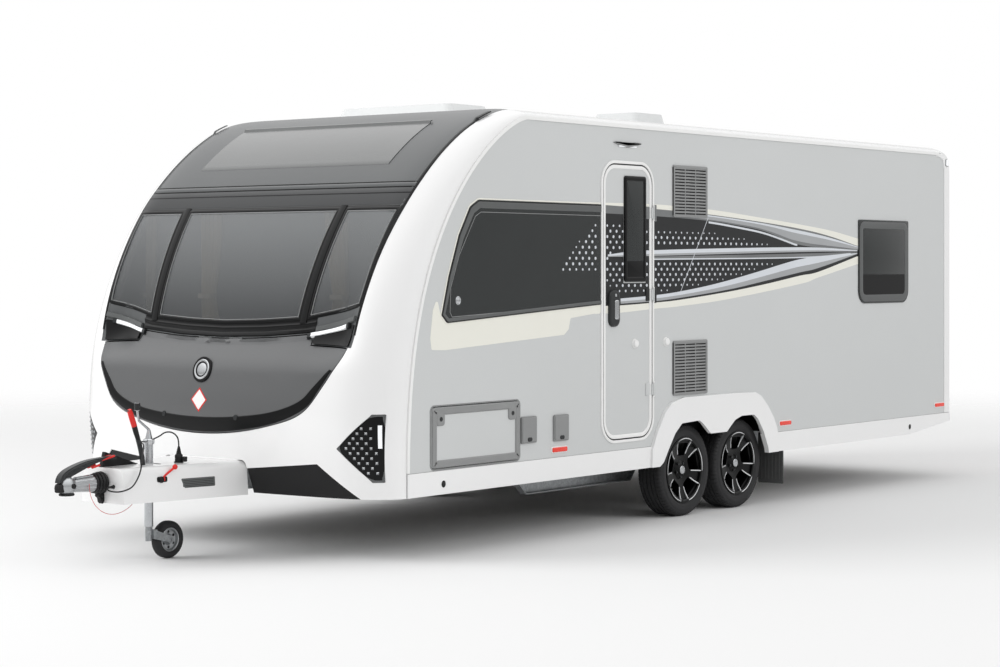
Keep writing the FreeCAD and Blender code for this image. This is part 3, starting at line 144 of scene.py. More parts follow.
def finish(name, tones, rough, relief=None, depth=0.0, cloud=400, drift=0.04, patch=None, **shader):
    """A material whose two close tones are clouded together, with a drifting roughness and a
    relief. depth and cloud are in millimetres, and shader holds the shader's own constants."""
    material = bpy.data.materials.new(name)
    material.use_nodes = True
    tree = material.node_tree
    tree.nodes.clear()
    place = add(tree, "ShaderNodeTexCoord").outputs["Object"]
    if patch:
        cloudy = patch(tree, place)
    else:
        cloudy = add(tree, "ShaderNodeTexNoise", values={"Scale": 1000 / cloud, "Detail": 3.0},
            links={"Vector": place}).outputs["Fac"]
    colour = add(tree, "ShaderNodeMix", {"data_type": "RGBA"}, {6: linear(tones[0]), 7: linear(tones[1])},
        {0: cloudy}).outputs[2]
    sheen = add(tree, "ShaderNodeMapRange",
        values={"To Min": max(0.02, rough - drift), "To Max": rough + drift},
        links={"Value": cloudy}).outputs[0]
    links = {"Base Color": colour, "Roughness": sheen}
    if relief:
        links["Normal"] = add(tree, "ShaderNodeBump", values={"Strength": 1.0, "Distance": depth * MM},
            links={"Height": relief(tree, place)}).outputs[0]
    values = {key.replace("_", " ").title().replace("Ior", "IOR"): value for key, value in shader.items()}
    bsdf = add(tree, "ShaderNodeBsdfPrincipled", values=values, links=links)
    add(tree, "ShaderNodeOutputMaterial", links={"Surface": bsdf.outputs[0]})
    return material


def painted_light_aloft(tree, place):
    """Painted light: a colour that grows paler from the foot of a front pane to its head, a painted
    reflection brightening towards the top.
    """
    height = add(tree, "ShaderNodeSeparateXYZ", links={0: place}).outputs["Z"]
    return add(tree, "ShaderNodeMapRange", values={"From Min": 1.35, "From Max": 1.95},
        links={"Value": height}).outputs[0]


def spangle(tree, place):
    """The crystal flowers of hot-dip zinc, about 12 mm across."""
    return add(tree, "ShaderNodeTexVoronoi", values={"Scale": 80.0}, links={"Vector": place}).outputs["Color"]


# Coil-painted aluminium sheet: a satin light grey with a very faint ripple.
WALL_PAINT = finish("coil_painted_aluminium", ("CCCECE", "C8CACA"), 0.4, grain(60), 0.02, cloud=900,
    coat_weight=0.15, coat_roughness=0.2)
# Acrylic-capped ABS mouldings: glossy white with a soft pull from the vacuum forming.
WHITE_MOULDING = finish("acrylic_capped_abs_white", ("F0F0F0", "ECECEC"), 0.22, grain(90), 0.05, cloud=700,
    coat_weight=0.4, coat_roughness=0.06)
# Painted GRP of the dark nose: graphite with a fine metallic flake under a satin lacquer.
DARK_PAINT = finish("lacquered_grp_graphite", ("4F5152", "585A5B"), 0.42, grain(70), 0.02, cloud=2.5,
    metallic=0.2, specular_ior_level=0.35, coat_weight=0.25, coat_roughness=0.2)
# The step above the panes is painted darker, painted shade of the ridge's relief, and the panoramic light
# over it glossier.
STEP_PAINTED_SHADE = finish("satin_grp_charcoal", ("3A3B3C", "404142"), 0.42, grain(70), 0.02, cloud=2.5,
    specular_ior_level=0.3)
ROOF_GLAZING = finish("smoked_panorama_acrylic", ("454747", "4F5151"), 0.26, grain(900), 0.02, cloud=600,
    specular_ior_level=0.6, coat_weight=0.5, coat_roughness=0.05)
# The locker lid is the same paint, moulded a little less flat.
LID_PAINT = finish("lacquered_grp_lid", ("5A5B5C", "636465"), 0.42, grain(60), 0.03, cloud=2.5, metallic=0.2,
    specular_ior_level=0.35, coat_weight=0.25, coat_roughness=0.22)
# Satin black ABS trim.
GLOSS_BLACK = finish("satin_black_abs", ("050506", "08090A"), 0.3, grain(50), 0.02, specular_ior_level=0.22)
# Unpainted black polypropylene with a leather grain.
GRAINED_BLACK = finish("grained_black_polypropylene", ("111112", "171718"), 0.5, pebble(2.2), 0.12, cloud=120,
    specular_ior_level=0.3)
# Mid-grey ASA for vents, flaps and hatch frames: a light pebble and a dull sheen.
GREY_PLASTIC = finish("pebbled_grey_asa", ("8E8F8F", "868787"), 0.48, pebble(2.0), 0.06, cloud=200)
FRAME_GREY = finish("satin_grey_asa", ("5E6060", "575959"), 0.4, pebble(1.8), 0.04, cloud=200,
    specular_ior_level=0.35)
DARK_PLASTIC = finish("satin_anthracite_abs", ("2B2D2E", "252728"), 0.36, pebble(1.8), 0.04, cloud=150,
    specular_ior_level=0.35)
# Roof-light domes: milky acrylic.
DOME_ACRYLIC = finish("milky_acrylic", ("E2E4E4", "DBDDDD"), 0.2, grain(80), 0.03, coat_weight=0.4,
    subsurface_weight=0.1, subsurface_radius=(0.02, 0.02, 0.02))
# Smoke-tinted acrylic double glazing, seen through with the cabin behind it. Its colour is painted paler
# towards the panes' heads as a painted reflection.
SMOKED_GLAZING = finish("smoked_acrylic", ("3F4244", "7C7F81"), 0.09, drift=0.01, patch=painted_light_aloft,
    alpha=0.55, specular_ior_level=0.8)
DARK_GLAZING = finish("dark_smoked_acrylic", ("2B2E2E", "303333"), 0.08, cloud=300, drift=0.01, alpha=0.9,
    specular_ior_level=0.5)
# Hot-dip galvanised steel: zinc flowers of slightly different grey and gloss.
GALVANISED = finish("hot_dip_galvanised_steel", ("8D9092", "B3B6B8"), 0.42, pebble(9.0), 0.05, drift=0.1,
    patch=spangle, metallic=0.85)
# Bright zinc-plated tube: thin drawing lines along it.
ZINC_TUBE = finish("zinc_plated_tube", ("C4C6C8", "B4B7BA"), 0.22, ribs("X", 1.2), 0.01, cloud=60,
    metallic=1.0)
# Cast coupling body in silver paint over a sand-cast skin.
SILVER_CAST = finish("silver_painted_casting", ("B4B6B8", "A6A9AB"), 0.3, grain(3.0), 0.12, cloud=30,
    metallic=0.8)
# Powder-coated aluminium extrusion of the rails.
RAIL_WHITE = finish("powder_coated_rail", ("F1F1F0", "ECECEB"), 0.3, grain(1.5), 0.01, coat_weight=0.2)
# Road tyre rubber: dull charcoal with a dusty bloom.
TYRE_RUBBER = finish("road_tyre_rubber", ("232324", "2E2E2F"), 0.7, pebble(1.6), 0.05, cloud=90,
    specular_ior_level=0.35)
# Black lacquer on the cast wheel, and the spoke edges turned bright afterwards.
WHEEL_LACQUER = finish("black_wheel_lacquer", ("050606", "090A0B"), 0.3, grain(30), 0.02,
    specular_ior_level=0.2)
DIAMOND_CUT = finish("diamond_cut_aluminium", ("EEEFF0", "E2E4E5"), 0.3, ribs("X", 0.8), 0.01, cloud=20,
    metallic=0.7)
SATIN_STEEL = finish("satin_stainless_steel", ("C8CACC", "BDBFC1"), 0.24, ribs("Z", 0.6), 0.006, cloud=30,
    metallic=1.0)
RED_PLASTIC = finish("red_nylon", ("E0221A", "CE1D16"), 0.34, pebble(1.5), 0.03, cloud=40)
# Moulded rubber of gaiter, cable sheath and grips.
FLAP_RUBBER = finish("ribbed_flap_rubber", ("4B4C4C", "555656"), 0.6, pebble(2.5), 0.1, cloud=90,
    specular_ior_level=0.3)
BLACK_RUBBER = finish("moulded_black_rubber", ("101011", "171718"), 0.5, grain(2.0), 0.05, cloud=40,
    specular_ior_level=0.35)
RED_CORD = finish("red_pvc_sheath", ("D4221C", "B81A15"), 0.4, grain(1.0), 0.02, cloud=25)
# Lamp lenses: clear acrylic over white diodes, and red and amber acrylic with optics moulded inside.
WHITE_LENS = finish("opal_led_lens", ("F4F6F8", "EDF0F3"), 0.12, ribs("X", 8.0), 0.05, cloud=60,
    coat_weight=0.6, emission_color=(1, 1, 1, 1), emission_strength=0.2)
RED_LENS = finish("red_acrylic_lens", ("E8301E", "D42415"), 0.14, ribs("Y", 4.0), 0.08, cloud=30,
    coat_weight=0.4, emission_color=(0.8, 0.06, 0.02, 1), emission_strength=0.12)
AMBER_LENS = finish("amber_acrylic_lens", ("E2851E", "CF7412"), 0.14, ribs("Y", 4.0), 0.08, cloud=30,
    coat_weight=0.4)
# Gathered curtain cloth: undyed linen weave, threads drawn at 1.5 mm so that they show.
CURTAIN_LINEN = finish("linen_curtain_cloth", ("FAF0DC", "F0E4CC"), 0.85, weave(1.5), 0.25, cloud=40,
    sheen_weight=0.3)
# The flat sheet behind them is painted shade standing in for the shaded cabin, its colour painted paler
# towards the top as painted light from above.
SHADE_LINING_CLOTH = finish("flat_blind_cloth", ("66686A", "C0C2C4"), 0.8, weave(1.5), 0.1, patch=painted_light_aloft)
# Bitumen-sealed plywood under the floor.
FLOOR_PLY = finish("sealed_floor_plywood", ("3A332B", "453D33"), 0.7, ribs("Y", 14.0), 0.1, cloud=300)
# Printed self-adhesive films of the side band.
CREAM_FILM = finish("cream_vinyl_film", ("EDECE3", "E8E7DD"), 0.4, grain(80), 0.01, coat_weight=0.1)
GRAPHITE_FILM = finish("graphite_vinyl_film", ("232425", "292A2B"), 0.4, grain(80), 0.01, cloud=500,
    specular_ior_level=0.25)
SHADED_FILM = finish("grey_vinyl_film", ("5A5C5D", "8A8C8D"), 0.38, grain(80), 0.01, cloud=700,
    specular_ior_level=0.35)
GREY_FILM = finish("mid_grey_vinyl_film", ("9A9C9E", "B2B4B6"), 0.38, grain(80), 0.01, cloud=900,
    specular_ior_level=0.35)
SILVER_FILM = finish("silver_vinyl_film", ("DDE1E7", "CDD1D6"), 0.36, grain(80), 0.01, cloud=400,
    coat_weight=0.15)
WHITE_FILM = finish("white_vinyl_film", ("F2F2F1", "ECECEA"), 0.36, grain(40), 0.01, coat_weight=0.1)

# The slot of a piece, unless it is said where the piece is made.
SLOTS = {
    "shell_white": (WALL_PAINT,), "lid_grey": (LID_PAINT,), "tyre": (TYRE_RUBBER,),
    "moulding_white": (WHITE_MOULDING, RAIL_WHITE, CREAM_FILM, WHITE_FILM),
    "dark_gloss": (DARK_PAINT, STEP_PAINTED_SHADE, GRAPHITE_FILM), "alloy": (DIAMOND_CUT,),
    "black_plastic": (GLOSS_BLACK, GRAINED_BLACK, DARK_PLASTIC),
    "grey_plastic": (GREY_PLASTIC, FRAME_GREY, GREY_FILM, SHADED_FILM),
    "tinted_glass": (SMOKED_GLAZING, DARK_GLAZING, ROOF_GLAZING),
    "silver_cast": (SILVER_CAST, SATIN_STEEL, SILVER_FILM), "red_plastic": (RED_PLASTIC, RED_CORD),
    "rubber_black": (BLACK_RUBBER, FLAP_RUBBER), "fabric_cream": (CURTAIN_LINEN, SHADE_LINING_CLOTH),
    "lamp_red": (RED_LENS, AMBER_LENS), "lamp_clear": (WHITE_LENS,),
}
SLOT_OF = {material.name: slot for slot, materials in SLOTS.items() for material in materials}


# Shapes: each is a list of points and a list of faces, gathered by piece().

def piece(name, material, *shapes, body="caravan", slot=None, angle=32):
    """Gather shapes into one named piece that rides on a body."""
    points, faces = [], []
    for more_points, more_faces in shapes:
        start = len(points)
        points += [Vector(point) * MM for point in more_points]
        faces += [[start + index for index in face] for face in more_faces]
    mesh = bpy.data.meshes.new(name)
    mesh.from_pydata(points, [], faces)
    mesh.materials.append(material)
    return settled(mesh, material, body, slot, angle)


def settled(mesh, material, body, slot, angle):
    """Close a mesh's seams, turn its faces outwards, and put it on a body as a piece."""
    sheet = bmesh.new()
    sheet.from_mesh(mesh)
    bmesh.ops.remove_doubles(sheet, verts=sheet.verts, dist=2e-5)
    bmesh.ops.recalc_face_normals(sheet, faces=sheet.faces)
    sheet.to_mesh(mesh)
    sheet.free()
    mesh.shade_smooth()
    mesh.set_sharp_from_angle(angle=radians(angle))
    made = bpy.data.objects.new(mesh.name, mesh)
    scene.collection.objects.link(made)
    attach(made, body)
    slot or SLOT_OF[material.name]
    return made


def rounded(points, radius=0.0, steps=6):
    """A closed outline with its corners rounded."""
    count = len(points)
    radii = list(radius) if isinstance(radius, (list, tuple)) else [radius] * count
    outline = []
    for index, (place, size) in enumerate(zip(points, radii)):
        corner = Vector(place)
        if size <= 0:
            outline.append(tuple(corner))
            continue
        back = (Vector(points[index - 1]) - corner).normalized()
        ahead = (Vector(points[(index + 1) % count]) - corner).normalized()
        half = back.angle(ahead) / 2
        centre = corner + (back + ahead).normalized() * (size / sin(half))
        one = corner + back * (size / tan(half)) - centre
        two = corner + ahead * (size / tan(half)) - centre
        for step in range(steps + 1):
            spoke = one.lerp(two, step / steps).normalized() * size
            outline.append(tuple(centre + spoke))
    return outline


def rectangle(low_a, low_b, high_a, high_b, radius=0.0, steps=6):
    return rounded([(low_a, low_b), (high_a, low_b), (high_a, high_b), (low_a, high_b)], radius, steps)


def disc(a, b, radius, steps=28):
    return [(a + radius * cos(2 * pi * step / steps), b + radius * sin(2 * pi * step / steps))
        for step in range(steps)]


def grown(outline, amount):
    """The outline moved outwards by an amount, or inwards by a negative one."""
    count = len(outline)
    area = sum(outline[index - 1][0] * outline[index][1] - outline[index][0] * outline[index - 1][1]
        for index in range(count))
    way = 1 if area > 0 else -1
    moved = []
    for index in range(count):
        here = Vector(outline[index])
        before = (here - Vector(outline[index - 1])).normalized()
        after = (Vector(outline[(index + 1) % count]) - here).normalized()
        run = before + after
        run = run.normalized() if run.length > 1e-6 else after
        out = Vector((run.y, -run.x)) * way
        spread = max(0.5, out.dot(Vector((after.y, -after.x)) * way))
        moved.append(tuple(here + out * (amount / spread)))
    return moved


def smooth_line(points, steps=8, closed=False):
    """A smooth curve through points of any dimension."""
    places = [Vector(point) for point in points]
    if closed:
        ring = [places[-1]] + places + places[:2]
    else:
        ring = [places[0] * 2 - places[1]] + places + [places[-1] * 2 - places[-2]]
    line = []
    for a, b, c, d in zip(ring, ring[1:], ring[2:], ring[3:]):
        for step in range(steps):
            t = step / steps
            line.append(((b * 2) + (c - a) * t + (a * 2 - b * 5 + c * 4 - d) * t * t
                + (b * 3 - a - c * 3 + d) * t ** 3) / 2)
    if not closed:
        line.append(places[-1])
    return [tuple(point) for point in line]


def moulding(outline, profile, place):
    """A closed profile of (outward, height) points led round an outline."""
    rings = [[place(a, b, height) for a, b in grown(outline, outward)] for outward, height in profile]
    count = len(outline)
    points = [point for ring in rings for point in ring]
    faces = []
    for row in range(len(rings)):
        after = (row + 1) % len(rings)
        for index in range(count):
            beside = (index + 1) % count
            faces.append([row * count + index, row * count + beside, after * count + beside,
                after * count + index])
    return points, faces


def plate(outline, profile, place):
    """The same with an open profile from back to front, closed by a face at both ends."""
    points, faces = moulding(outline, profile, place)
    count = len(outline)
    faces = faces[:-count]
    faces.append(list(range(count)))
    faces.append(list(range(count * (len(profile) - 1), count * len(profile))))
    return points, faces


def film(outline, place, height):
    return plate(outline, [(0, -0.6), (0, height)], place)


def slab(outer, inner):
    """A grid of points over another of the same size, closed along its borders."""
    rows, columns = len(outer), len(outer[0])
    points = [point for row in outer for point in row] + [point for row in inner for point in row]
    under = rows * columns
    faces = []
    for row in range(rows - 1):
        for column in range(columns - 1):
            a = row * columns + column
            faces.append([a, a + 1, a + columns + 1, a + columns])
            faces.append([under + a, under + a + columns, under + a + columns + 1, under + a + 1])
    border = [row * columns for row in range(rows)]
    border += [(rows - 1) * columns + column for column in range(1, columns)]
    border += [row * columns + columns - 1 for row in range(rows - 2, -1, -1)]
    border += list(range(columns - 2, 0, -1))
    for one, two in zip(border, border[1:] + border[:1]):
        faces.append([one, two, under + two, under + one])
    return points, faces


def raised(rows, back, place):
    """A strip over rows of (a, b, height) points, closed at one height behind them."""
    return slab([[place(*spot) for spot in row] for row in rows],
        [[place(a, b, back) for a, b, _ in row] for row in rows])


def flipped(place, side):
    """The same way of placing points, on the given side of the middle."""
    return lambda a, b, height: place(side * a, b, height)


def turned(profile, centre, axis, steps=32):
    """A closed or pole-to-pole profile of (along, radius) points turned about an axis."""
    axis = Vector(axis).normalized()
    side = axis.orthogonal().normalized()
    other = axis.cross(side)
    points, rings = [], []
    for along, radius in profile:
        start = len(points)
        if radius < 1e-6:
            points.append(Vector(centre) + axis * along)
            rings.append([start] * steps)
        else:
            for step in range(steps):
                turn = 2 * pi * step / steps
                points.append(Vector(centre) + axis * along + (side * cos(turn) + other * sin(turn)) * radius)
            rings.append(list(range(start, start + steps)))
    faces = []
    pairs = list(zip(rings, rings[1:]))
    if profile[0][1] > 1e-6:
        pairs.append((rings[-1], rings[0]))
    for one, two in pairs:
        for step in range(steps):
            after = (step + 1) % steps
            face = []
            for index in (one[step], one[after], two[after], two[step]):
                if index not in face:
                    face.append(index)
            if len(face) > 2:
                faces.append(face)
    return points, faces


def bar(path, radius, steps=12, cap=0.4):
    """A round bar along points, its ends slightly domed."""
    places = [Vector(point) for point in path]
    points, rings = [], []
    side = None
    for index, here in enumerate(places):
        run = places[min(index + 1, len(places) - 1)] - places[max(index - 1, 0)]
        run.normalize()
        side = run.orthogonal() if side is None else side - run * side.dot(run)
        side.normalize()
        other = run.cross(side)
        size = radius[index] if isinstance(radius, (list, tuple)) else radius
        rings.append([len(points) + step for step in range(steps)])
        points += [here + (side * cos(2 * pi * step / steps) + other * sin(2 * pi * step / steps)) * size
            for step in range(steps)]
    faces = []
    for one, two in zip(rings, rings[1:]):
        faces += [[one[step], one[(step + 1) % steps], two[(step + 1) % steps], two[step]]
            for step in range(steps)]
    for ring, here, near in ((rings[0], places[0], places[1]), (rings[-1], places[-1], places[-2])):
        size = (points[ring[0]] - here).length
        points.append(here + (here - near).normalized() * size * cap)
        faces += [[ring[step], ring[(step + 1) % steps], len(points) - 1] for step in range(steps)]
    return points, faces


def on_wall(side, plane=WALL):
    return lambda y, z, height: (side * (plane + height), y, z)


def on_rear(x, z, height):
    """A place on the rear panel, found on its own surface."""
    hit = REAR_SKIN.ray_cast(Vector((x, 4500, z)) * MM, Vector((0, -1, 0)))[0]
    return (x, (hit.y / MM if hit else REAR_PLANE) + height, z)


def skin_of(*names):
    """The surface of some CAD nodes, ready for rays."""
    points, faces = [], []
    for name in names:
        mesh = nodes[name].data
        start = len(points)
        points += [vertex.co.copy() for vertex in mesh.vertices]
        faces += [[start + index for index in polygon.vertices] for polygon in mesh.polygons]
    return BVHTree.FromPolygons(points, faces)


FRONT_SKIN = skin_of("front_moulding", "front_upper_panel", "front_windows", "locker_lid")
REAR_SKIN = skin_of("rear_panel")


def front_depth(x, z):
    """Where the nose's outer surface stands at a place seen from ahead. A gap between two panels
    is bridged from what lies beside it."""
    found = []
    for dx, dz in ((0, 0), (14, 0), (-14, 0), (0, 14), (0, -14)):
        hit = FRONT_SKIN.ray_cast(Vector((x + dx, -4500, z + dz)) * MM, Vector((0, 1, 0)))[0]
        found.append(hit.y / MM if hit else 0.0)
    beside = min(sum(pair) / 2 if abs(pair[0] - pair[1]) < 60 else min(pair) for pair in (found[1:3],
        found[3:5]))
    return found[0] if abs(found[0] - beside) < 9 else beside


def on_front(x, z, height):
    """A place on the nose, height above its surface along the surface's own direction."""
    y = front_depth(x, z)
    if abs(height) < 1e-6:
        return (x, y, z)
    slope_x = (front_depth(x + 5, z) - front_depth(x - 5, z)) / 10
    slope_z = (front_depth(x, z + 5) - front_depth(x, z - 5)) / 10
    slope_x, slope_z = max(-2, min(2, slope_x)), max(-2, min(2, slope_z))
    out = Vector((slope_x, -1, slope_z)).normalized()
    return tuple(Vector((x, y, z)) + out * height)


def band_on_front(xs, low, high, profile, back=-2.0):
    """A strip across the nose between two heights, with (share, height) points across it."""
    return raised([[(x, low(x) + (high(x) - low(x)) * share, height) for x in xs]
        for share, height in profile], back, on_front)


def eased(grid):
    """The same grid with its depths evened out, which takes the facets out of a traced surface."""
    depth = np.array([[point[1] for point in row] for row in grid])
    for _ in range(16):
        wide = np.pad(depth, 1, mode="reflect", reflect_type="odd")
        around = wide[:-2, 1:-1] + wide[2:, 1:-1] + wide[1:-1, :-2] + wide[1:-1, 2:]
        depth = (around + 4 * depth) / 8
    return [[(point[0], float(y), point[2]) for point, y in zip(row, line)] for row, line in zip(grid, depth)]


def sheet_on_front(rows, ahead, thickness):
    """A smooth plate over rows of (x, z) places, its face a given way ahead of the nose."""
    traced = [[(x, front_depth(x, z) - ahead, z) for x, z in row] for row in rows]
    outer = eased(traced)
    return slab(outer, [[(x, y + thickness, z) for x, y, z in row] for row in outer])


def level_ended(outline, amounts):
    """An open outline moved outwards by each point's own amount, its two ends kept in line."""
    line = [grown(outline, amount)[index] for index, amount in enumerate(amounts)]
    return [(outline[0][0], line[0][1])] + line[1:-1] + [(outline[-1][0], line[-1][1])]


def edging(outline, profile, place, back=-1.0):
    """An open strip along an outline, from its first point to its last, as (outward, height)
    points across it."""
    return raised([[(a, b, height) for a, b in level_ended(outline, [outward] * len(outline))]
        for outward, height in profile], back, place)


def mirrored(outline):
    return [(-x, z) for x, z in outline]


def both_ways(*half):
    """Points from the middle outwards, led on from their mirror image."""
    return mirrored(reversed(half[1:] if half[0][0] == 0 else half)) + list(half)


def between(*points):
    """A height that follows straight runs through (x, z) points."""
    def height(x):
        for (x0, z0), (x1, z1) in zip(points, points[1:]):
            if x <= x1:
                return z0 + (z1 - z0) * (x - x0) / (x1 - x0)
        return points[-1][1]
    return height


def steps_from(start, end, count):
    return [start + (end - start) * index / (count - 1) for index in range(count)]


# Repeats: one tree puts an item on every point of a mesh.

def repeat_tree():
    tree = bpy.data.node_groups.new("repeat_on_points", "GeometryNodeTree")
    for name, kind in (("Geometry", "NodeSocketGeometry"), ("Item", "NodeSocketObject"),
            ("Finish", "NodeSocketMaterial")):
        tree.interface.new_socket(name=name, in_out="INPUT", socket_type=kind)
    tree.interface.new_socket(name="Geometry", in_out="OUTPUT", socket_type="NodeSocketGeometry")
    given = add(tree, "NodeGroupInput").outputs
    item = add(tree, "GeometryNodeObjectInfo", links={"Object": given["Item"]})
    turn = add(tree, "GeometryNodeInputNamedAttribute", {"data_type": "FLOAT_VECTOR"}, {"Name": "turn"})
    size = add(tree, "GeometryNodeInputNamedAttribute", {"data_type": "FLOAT"}, {"Name": "size"})
    spread = add(tree, "GeometryNodeInstanceOnPoints",
        links={"Points": given["Geometry"], "Instance": item.outputs["Geometry"], "Rotation": turn.outputs[0],
        "Scale": size.outputs[0]})
    plain = add(tree, "GeometryNodeRealizeInstances", links={"Geometry": spread.outputs[0]})
    dressed = add(tree, "GeometryNodeSetMaterial",
        links={"Geometry": plain.outputs[0], "Material": given["Finish"]})
    add(tree, "NodeGroupOutput", links={"Geometry": dressed.outputs[0]})
    return tree


REPEAT = repeat_tree()


def repeat(name, spots, item, material, body="caravan"):
    """Put an item's shape on (place, turn, scale) spots, as one plain mesh."""
    source_mesh = bpy.data.meshes.new(name + "_item")
    source_mesh.from_pydata([Vector(point) * MM for point in item[0]], [], item[1])
    source = bpy.data.objects.new(name + "_item", source_mesh)
    scene.collection.objects.link(source)
    spot_mesh = bpy.data.meshes.new(name + "_spots")
    spot_mesh.from_pydata([Vector(place) * MM for place, _, _ in spots], [], [])
    spot_mesh.attributes.new("turn", "FLOAT_VECTOR", "POINT")
    spot_mesh.attributes.new("size", "FLOAT", "POINT")
    spot_mesh.attributes["turn"].data.foreach_set("vector", [part for _, turn, _ in spots for part in turn])
    spot_mesh.attributes["size"].data.foreach_set("value", [scale for _, _, scale in spots])
    holder = bpy.data.objects.new(name + "_spots", spot_mesh)
    scene.collection.objects.link(holder)
    modifier = holder.modifiers.new("repeat", "NODES")
    modifier.node_group = REPEAT
    keys = {socket.name: socket.identifier for socket in REPEAT.interface.items_tree
        if socket.in_out == "INPUT"}
    modifier[keys["Item"]] = source
    modifier[keys["Finish"]] = material
    bpy.context.view_layer.update()
    done = holder.evaluated_get(bpy.context.evaluated_depsgraph_get())
    mesh = bpy.data.meshes.new_from_object(done)
    mesh.name = name
    holder.modifiers.clear()
    bpy.data.objects.remove(holder)
    bpy.data.objects.remove(source)
    return settled(mesh, material, body, None, 32)


def flat_on(x, y, height):
    return (x, y, height)


DOT = plate(disc(0, 0, 1, 8), [(0, -0.3), (0, 0.25), (-0.35, 0.45)], flat_on)
STUD = plate(rectangle(-1, -1, 1, 1), [(0, -0.5), (0, 0.1), (-0.9, 1.0)], flat_on)


# Cords: limp lengths that follow the same route points as the source's solids.

def cord(name, points, radius, material):
    curve = bpy.data.curves.new(name, "CURVE")
    curve.dimensions = "3D"
    line = curve.splines.new("NURBS")
    line.points.add(len(points) - 1)
    for spot, place in zip(line.points, points):
        spot.co = [coordinate * MM for coordinate in place] + [1.0]
    line.order_u = 3
    line.use_endpoint_u = True
    line.resolution_u = 12
    curve.bevel_depth = radius * MM
    curve.bevel_resolution = 4
    curve.use_fill_caps = True
    curve.materials.append(material)
    made = bpy.data.objects.new(name, curve)
    scene.collection.objects.link(made)
    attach(made, "caravan")
    return made


SUPPLY_ROUTE = [(85, -3660, 436), (85, -3705, 436), (122, -3738, 424), (176, -3724, 417), (192, -3675, 423),
    (198, -3632, 438), (200, -3603, 469), (201, -3579, 508), (198, -3564, 553), (184, -3545, 593),
    (148, -3504, 627), (98, -3455, 640), (36, -3400, 648), (-22, -3374, 650), (-54, -3325, 651),
    (-38, -3276, 656), (-1, -3244, 677), (24, -3232, 699), (55, -3217, 704), (83, -3203, 690),
    (100, -3195, 660), (100, -3195, 625)]
BREAKAWAY_ROUTE = [(48, -3800, 461), (48, -3799, 430), (50, -3788, 385), (54, -3764, 342), (58, -3724, 308),
    (62, -3674, 288), (66, -3622, 286), (70, -3572, 298), (76, -3528, 322), (81, -3504, 350),
    (82, -3500, 375)]


def cords():
    supply = cord("supply_lead", SUPPLY_ROUTE, 4, BLACK_RUBBER)
    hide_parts("supply_cable")
    end = SUPPLY_ROUTE[-1]
    low = 541    # where the plug's boot begins, below the cord's end
    boot = [(0, 0), (0, 21), (3, 22), (14, 22), (15, 20.5), (17, 20.5), (18, 22), (34, 22), (38, 20),
        (40, 16)]
    for rib in range(6):
        height = 43 + rib * 6
        width = 15 - rib * 1.3
        boot += [(height, width), (height + 3, width), (height + 3.6, width - 1.6),
            (height + 5.4, width - 1.8)]
    boot += [(84, 5.2), (84, 0)]
    plug = piece("supply_plug_body", BLACK_RUBBER, turned(boot, (end[0], end[1], low), (0, 0, 1), 32))
    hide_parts("supply_plug")
    relief = piece("supply_strain_relief", BLACK_RUBBER,
        turned([(-1, 0), (-1, 11), (3, 11), (5, 9), (12, 8.4), (13, 7.4), (15, 7.4), (16, 8), (22, 7.2),
        (23, 6.2), (25, 6.2), (26, 6.8), (32, 5.6), (34, 4.2), (34, 0)], (85, -3660, 436), (0, -1, 0), 24))
    breakaway = cord("breakaway_lead", BREAKAWAY_ROUTE, 1.5, RED_CORD)
    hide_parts("breakaway_cable")


cords()


# Finishes of the frame's own pieces

FINISHES = (
    (WHEEL_LACQUER, "wheel"),
    (WHITE_MOULDING, "front_moulding roof_panel rear_panel rear_bumper skirt_near skirt_off frame_cover"),
    (DARK_PAINT, "front_upper_panel"),
    (SMOKED_GLAZING, "front_windows"),
    (LID_PAINT, "locker_lid"),
    (GLOSS_BLACK, "front_lamps rear_lamps"),
    (GRAINED_BLACK, "front_grilles wheel_boxes cover_fittings"),
    (DOME_ACRYLIC, "rooflights"),
    (FLOOR_PLY, "floor_panel"),
    (WALL_PAINT, "gas_locker side_wall_near side_wall_off entrance_door side_hatch"),
    (DARK_GLAZING, "side_windows door_window"),
    (RAIL_WHITE, "door_hinges awning_rails"),
    (DARK_PLASTIC, "door_handle coupling_handle brake_lever"),
    (GREY_PLASTIC, "wall_vents"),
    (GALVANISED, "steady chassis_rails cross_members suspension drawbar_legs drawbar_head jockey_clamp "
     "jockey_fork"),
    (BLACK_RUBBER, "overrun_bellows supply_cable supply_plug"),
    (SILVER_CAST, "coupling_head"),
    (RED_PLASTIC, "clamp_lever"),
    (ZINC_TUBE, "jockey_post"),
    (TYRE_RUBBER, "tyre jockey_wheel"),
    (RED_CORD, "breakaway_cable"),
    (CURTAIN_LINEN, "curtains"),
)
CHOSEN = {name: material for material, names in FINISHES for name in names.split()}
for name, thing in nodes.items():
    kind = name if name in CHOSEN else name.split("_")[0]
    thing.data.materials.clear()
    thing.data.materials.append(CHOSEN[kind])


# Road wheels

TYRE_TOP = 298
TRACK = 1057.5
AXLES = {"front": 307, "rear": 959}


def tyre_profile():
    """Across the tyre: (sideways, radius, part), where part says how a vertex takes the tread."""
    outer = [(81.5, 203, "bead"), (82.5, 214, "bead"), (86, 221, "side"), (89.5, 228, "side"),
        (90.5, 231, "side"), (90.2, 234, "side"), (91.8, 243, "side"), (92.2, 252, "side"),
        (91.2, 262, "side"), (90.4, 264, "serrated"), (88.8, 274, "serrated"), (88.0, 276, "side"),
        (85.5, 283, "shoulder"), (79, 291, "shoulder"), (71, 295.5, "shoulder"), (60, 297.2, "shoulder")]
    across = []
    for centre in (44, 15):
        across += [(centre + 4.4, TYRE_TOP - 0.4, "rib"), (centre + 3.4, TYRE_TOP - 7, "groove"),
            (centre - 3.4, TYRE_TOP - 7, "groove"), (centre - 4.4, TYRE_TOP, "rib")]
        across.append((centre - 14, TYRE_TOP, "rib"))
    half = outer + across
    return half + [(-x, radius, part) for x, radius, part in reversed(half[:-1])]


